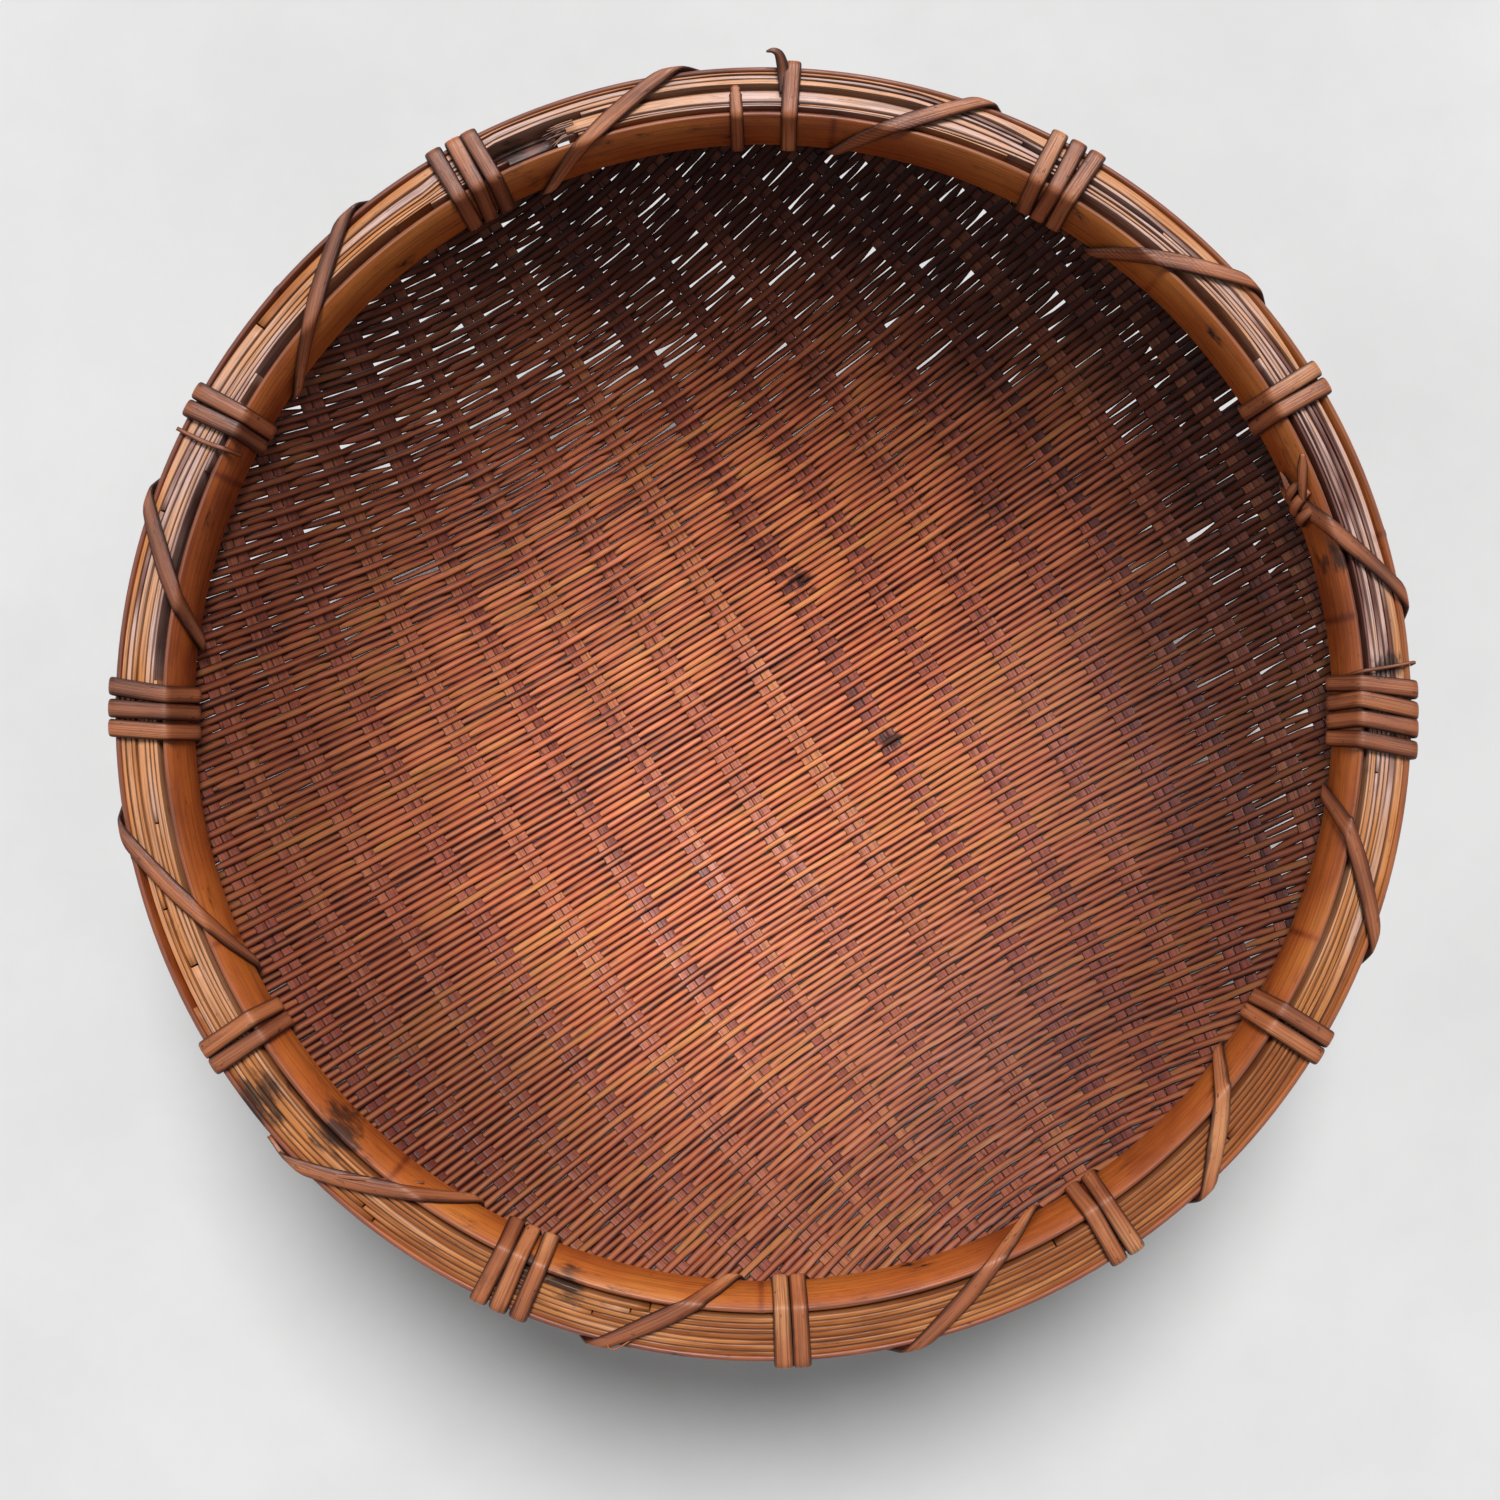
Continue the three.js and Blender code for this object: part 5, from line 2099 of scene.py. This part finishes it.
@dataclass
class Studio:
    """The floor, the lamps and the camera.

    Attributes:
        rim_level: height of the plane that the camera was placed over, in metres.
        distance: from that plane to the camera, in metres.
        tilt: of the camera towards the image's top and right, in radians.
        lens: focal length, in millimetres.
        sensor: width of the camera's sensor, in millimetres.
        shift: of the image's middle.
        sky: strength of the even light from all sides.
        lamp_width: how wide a lamp looks from the basket, in radians.
        lamps: name, azimuth and elevation in degrees, and strength of each lamp.
        floor_half: from the floor's middle to its edges, in metres.
        floor_tones: its darkest and lightest colour.
    """

    rim_level: float = 0.136
    distance: float = 0.5744
    tilt: Pair = (0.058, 0.007)
    lens: float = 37.3
    sensor: float = 36.0
    shift: Pair = (-0.0102, -0.0343)
    sky: float = 0.2
    lamp_width: float = math.radians(26)
    lamps: tuple[tuple[str, float, float, float], ...] = (
        ("window", 86.0, 55.0, 3.05), ("far_window", 172.0, 26.0, 0.3),
    )
    floor_half: float = 6.0
    floor_tones: tuple[Triple, Triple] = ((224, 224, 224), (232, 232, 232))

    def floor(self) -> None:
        """A plain pale floor, large enough to fill every view."""
        shape = bmesh.new()
        bmesh.ops.create_grid(shape, x_segments=2, y_segments=2, size=self.floor_half)
        mesh = bpy.data.meshes.new("floor")
        shape.to_mesh(mesh)
        shape.free()
        made = bpy.data.objects.new("floor", mesh)
        bpy.context.scene.collection.objects.link(made)
        graph = Graph("pale_floor")
        place = graph.wire("ShaderNodeTexCoord", output="Object")
        cloud = graph.noise(place, scale=5.0, detail=6.0, rough=0.65)
        colour = graph.mix(cloud.between(low=0.3, high=0.7), *self.floor_tones)
        mesh.materials.append(graph.finish({"Base Color": colour, "Roughness": 0.9}))

    def lamp(self, name: str, azimuth: float, elevation: float, strength: float) -> None:
        """A wide soft lamp, far off in a direction given in degrees.

        Args:
            name: of the lamp.
            azimuth: of its direction.
            elevation: of its direction.
            strength: of its light.
        """
        data = bpy.data.lights.new(name, "SUN")
        data.angle = self.lamp_width
        data.energy = strength
        made = bpy.data.objects.new(name, data)
        made.rotation_euler = (math.radians(90 - elevation), 0.0, math.radians(azimuth + 90))
        bpy.context.scene.collection.objects.link(made)

    def lights(self) -> None:
        """The lamps, the strongest from the image's top, and an even sky."""
        world = bpy.data.worlds.new("sky")
        world.use_nodes = True
        world.node_tree.nodes["Background"].inputs["Color"].default_value = (1, 1, 1, 1)
        world.node_tree.nodes["Background"].inputs["Strength"].default_value = self.sky
        bpy.context.scene.world = world
        for lamp in self.lamps:
            self.lamp(*lamp)

    def camera(self) -> None:
        """A camera at the photograph's place."""
        tilt, roll = self.tilt
        cos, sin = math.cos(tilt), math.sin(tilt)
        across = Vector((math.cos(roll), -sin * math.sin(roll), cos * math.sin(roll)))
        up = Vector((0, cos, sin))
        back = Vector((-math.sin(roll), -sin * math.cos(roll), cos * math.cos(roll)))
        data = bpy.data.cameras.new("camera")
        data.lens = self.lens
        data.sensor_width = self.sensor
        data.shift_x, data.shift_y = self.shift
        made = bpy.data.objects.new("camera", data)
        turned = Matrix((across, up, back)).transposed().to_4x4()
        place = Vector((0, 0, self.rim_level)) + back * self.distance
        made.matrix_world = Matrix.Translation(place) @ turned
        bpy.context.scene.collection.objects.link(made)
        bpy.context.scene.camera = made

    def build(self) -> None:
        """Sets everything up."""
        self.camera()
        self.lights()
        self.floor()
        bpy.context.scene.view_settings.view_transform = "Standard"


WEFT_TONES: Stops = (
    (0.0, (112, 42, 34)), (0.25, (170, 70, 50)), (0.5, (210, 98, 64)),
    (0.75, (228, 124, 74)), (1.0, (232, 146, 76)),
)
WARP_TONES: Stops = (
    (0.0, (126, 74, 68)), (0.35, (190, 102, 82)), (0.65, (218, 130, 98)), (1.0, (238, 154, 100)),
)
HOOP_TONES: Stops = (
    (0.0, (96, 40, 20)), (0.35, (152, 68, 26)), (0.65, (206, 108, 44)), (1.0, (236, 142, 58)),
)
# The pale pinkish grey at 0.25 is a painted sheen, the lacquer's reflection on the upper laths.
LATH_TONES: Stops = (
    (0.0, (132, 80, 68)), (0.25, (236, 194, 180)), (0.5, (242, 176, 130)),
    (0.75, (226, 146, 82)), (1.0, (178, 102, 50)),
)
RATTAN_TONES: Stops = (
    (0.0, (80, 42, 30)), (0.4, (146, 80, 50)), (0.7, (184, 108, 66)), (1.0, (214, 146, 98)),
)
WEAVE_BURNS = (
    BurnOrShade((0.017, 0.061, 0.010), 0.014), BurnOrShade((0.057, -0.011, 0.008), 0.012),
    BurnOrShade((0.118, 0.052, 0.049), 0.012), BurnOrShade((0.061, -0.190, 0.121), 0.018),
    BurnOrShade((-0.130, -0.102, 0.082), 0.011), BurnOrShade((-0.030, -0.196, 0.122), 0.016),
)
# The first two are painted sheen, a pale pinkish grey on the right and lower right wall; the third is
# painted shade that darkens the lower middle; the last is a real dark red stain at the lower left.
WEAVE_STAINS_AND_PAINTED_LIGHT = (
    StainOrPaintedLight((0.140, -0.012, 0.060), 0.115, (170, 110, 108), 0.45),
    StainOrPaintedLight((0.095, -0.125, 0.070), 0.080, (176, 122, 120), 0.45),
    StainOrPaintedLight((0.055, -0.090, 0.040), 0.105, (150, 66, 46), 0.6),
    StainOrPaintedLight((-0.120, -0.165, 0.120), 0.115, (104, 26, 12), 0.75),
)
# The sixth and seventh are painted shade that darkens the hole where laths are broken away; the rest
# are scorched marks.
RIM_BURNS_AND_SHADE = (
    BurnOrShade((-0.184, -0.146, 0.136), 0.022), BurnOrShade((-0.155, -0.157, 0.132), 0.020),
    BurnOrShade((-0.071, -0.211, 0.136), 0.018), BurnOrShade((-0.087, -0.207, 0.136), 0.016),
    BurnOrShade((0.212, 0.052, 0.132), 0.014), BurnOrShade((-0.094, 0.206, 0.130), 0.015),
    BurnOrShade((-0.083, 0.210, 0.130), 0.012), BurnOrShade((0.232, 0.012, 0.136), 0.012),
)


def main() -> None:
    """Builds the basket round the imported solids."""
    logging.basicConfig(level=logging.INFO)
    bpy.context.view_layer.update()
    Studio().build()
    bowl = Bowl()
    # The weave's finishes carry painted shade along the strips' edges, a painted highlight along the
    # wefts' crowns, and painted sheen and shade in some patches.
    Mat(bowl).build(
        StripFinish(
            "weft_lacquer", WEFT_TONES, fibre=0.62, edge=1.0, edge_from=0.27, crown_highlight=0.62,
            blotch=0.95, tone_spread=1.25, roughness=0.46, gloss=0.3, burns_and_shade=WEAVE_BURNS,
            stains_and_painted_light=WEAVE_STAINS_AND_PAINTED_LIGHT,
        ).material(),
        StripFinish(
            "warp_lacquer", WARP_TONES, smoke_and_shade_share=0.85, tone_spread=0.65, fibre=0.5, edge=0.7,
            edge_from=0.4, patch_rate=130.0, roughness=0.42, gloss=0.4, burns_and_shade=WEAVE_BURNS,
            stains_and_painted_light=WEAVE_STAINS_AND_PAINTED_LIGHT,
        ).material(),
    )
    hoop_finish = StripFinish(
        "hoop_lacquer", HOOP_TONES, brink=(176, 116, 98), tone_spread=0.5, fibre=0.35,
        smoke_and_shade_share=0.4, burns_and_shade=RIM_BURNS_AND_SHADE,
    )
    # The laths carry painted shade at their seams.
    lath_finish = StripFinish(
        "lath_lacquer", LATH_TONES, tone_spread=0.34, fibre=0.5, edge=0.0, seam_shade=0.6,
        smoke_and_shade_share=0.15, burns_and_shade=RIM_BURNS_AND_SHADE,
    ).material()
    # The rattan carries a painted highlight along its crown and painted shade along its edges.
    rattan_finish = StripFinish(
        "rattan_lacquer", RATTAN_TONES, tone_spread=0.45, fibre=0.55, edge=0.85, crown_highlight=0.16,
        edge_from=0.28, speck=0.8, blotch=0.6, smoke_and_shade_share=0.1, relief=0.0003,
    ).material()
    Rim(bowl).build(hoop_finish.material(), lath_finish)
    Lashing(bowl).build(rattan_finish)
    Trim(bowl).build(rattan_finish, lath_finish)


if __name__ == "__main__":
    main()
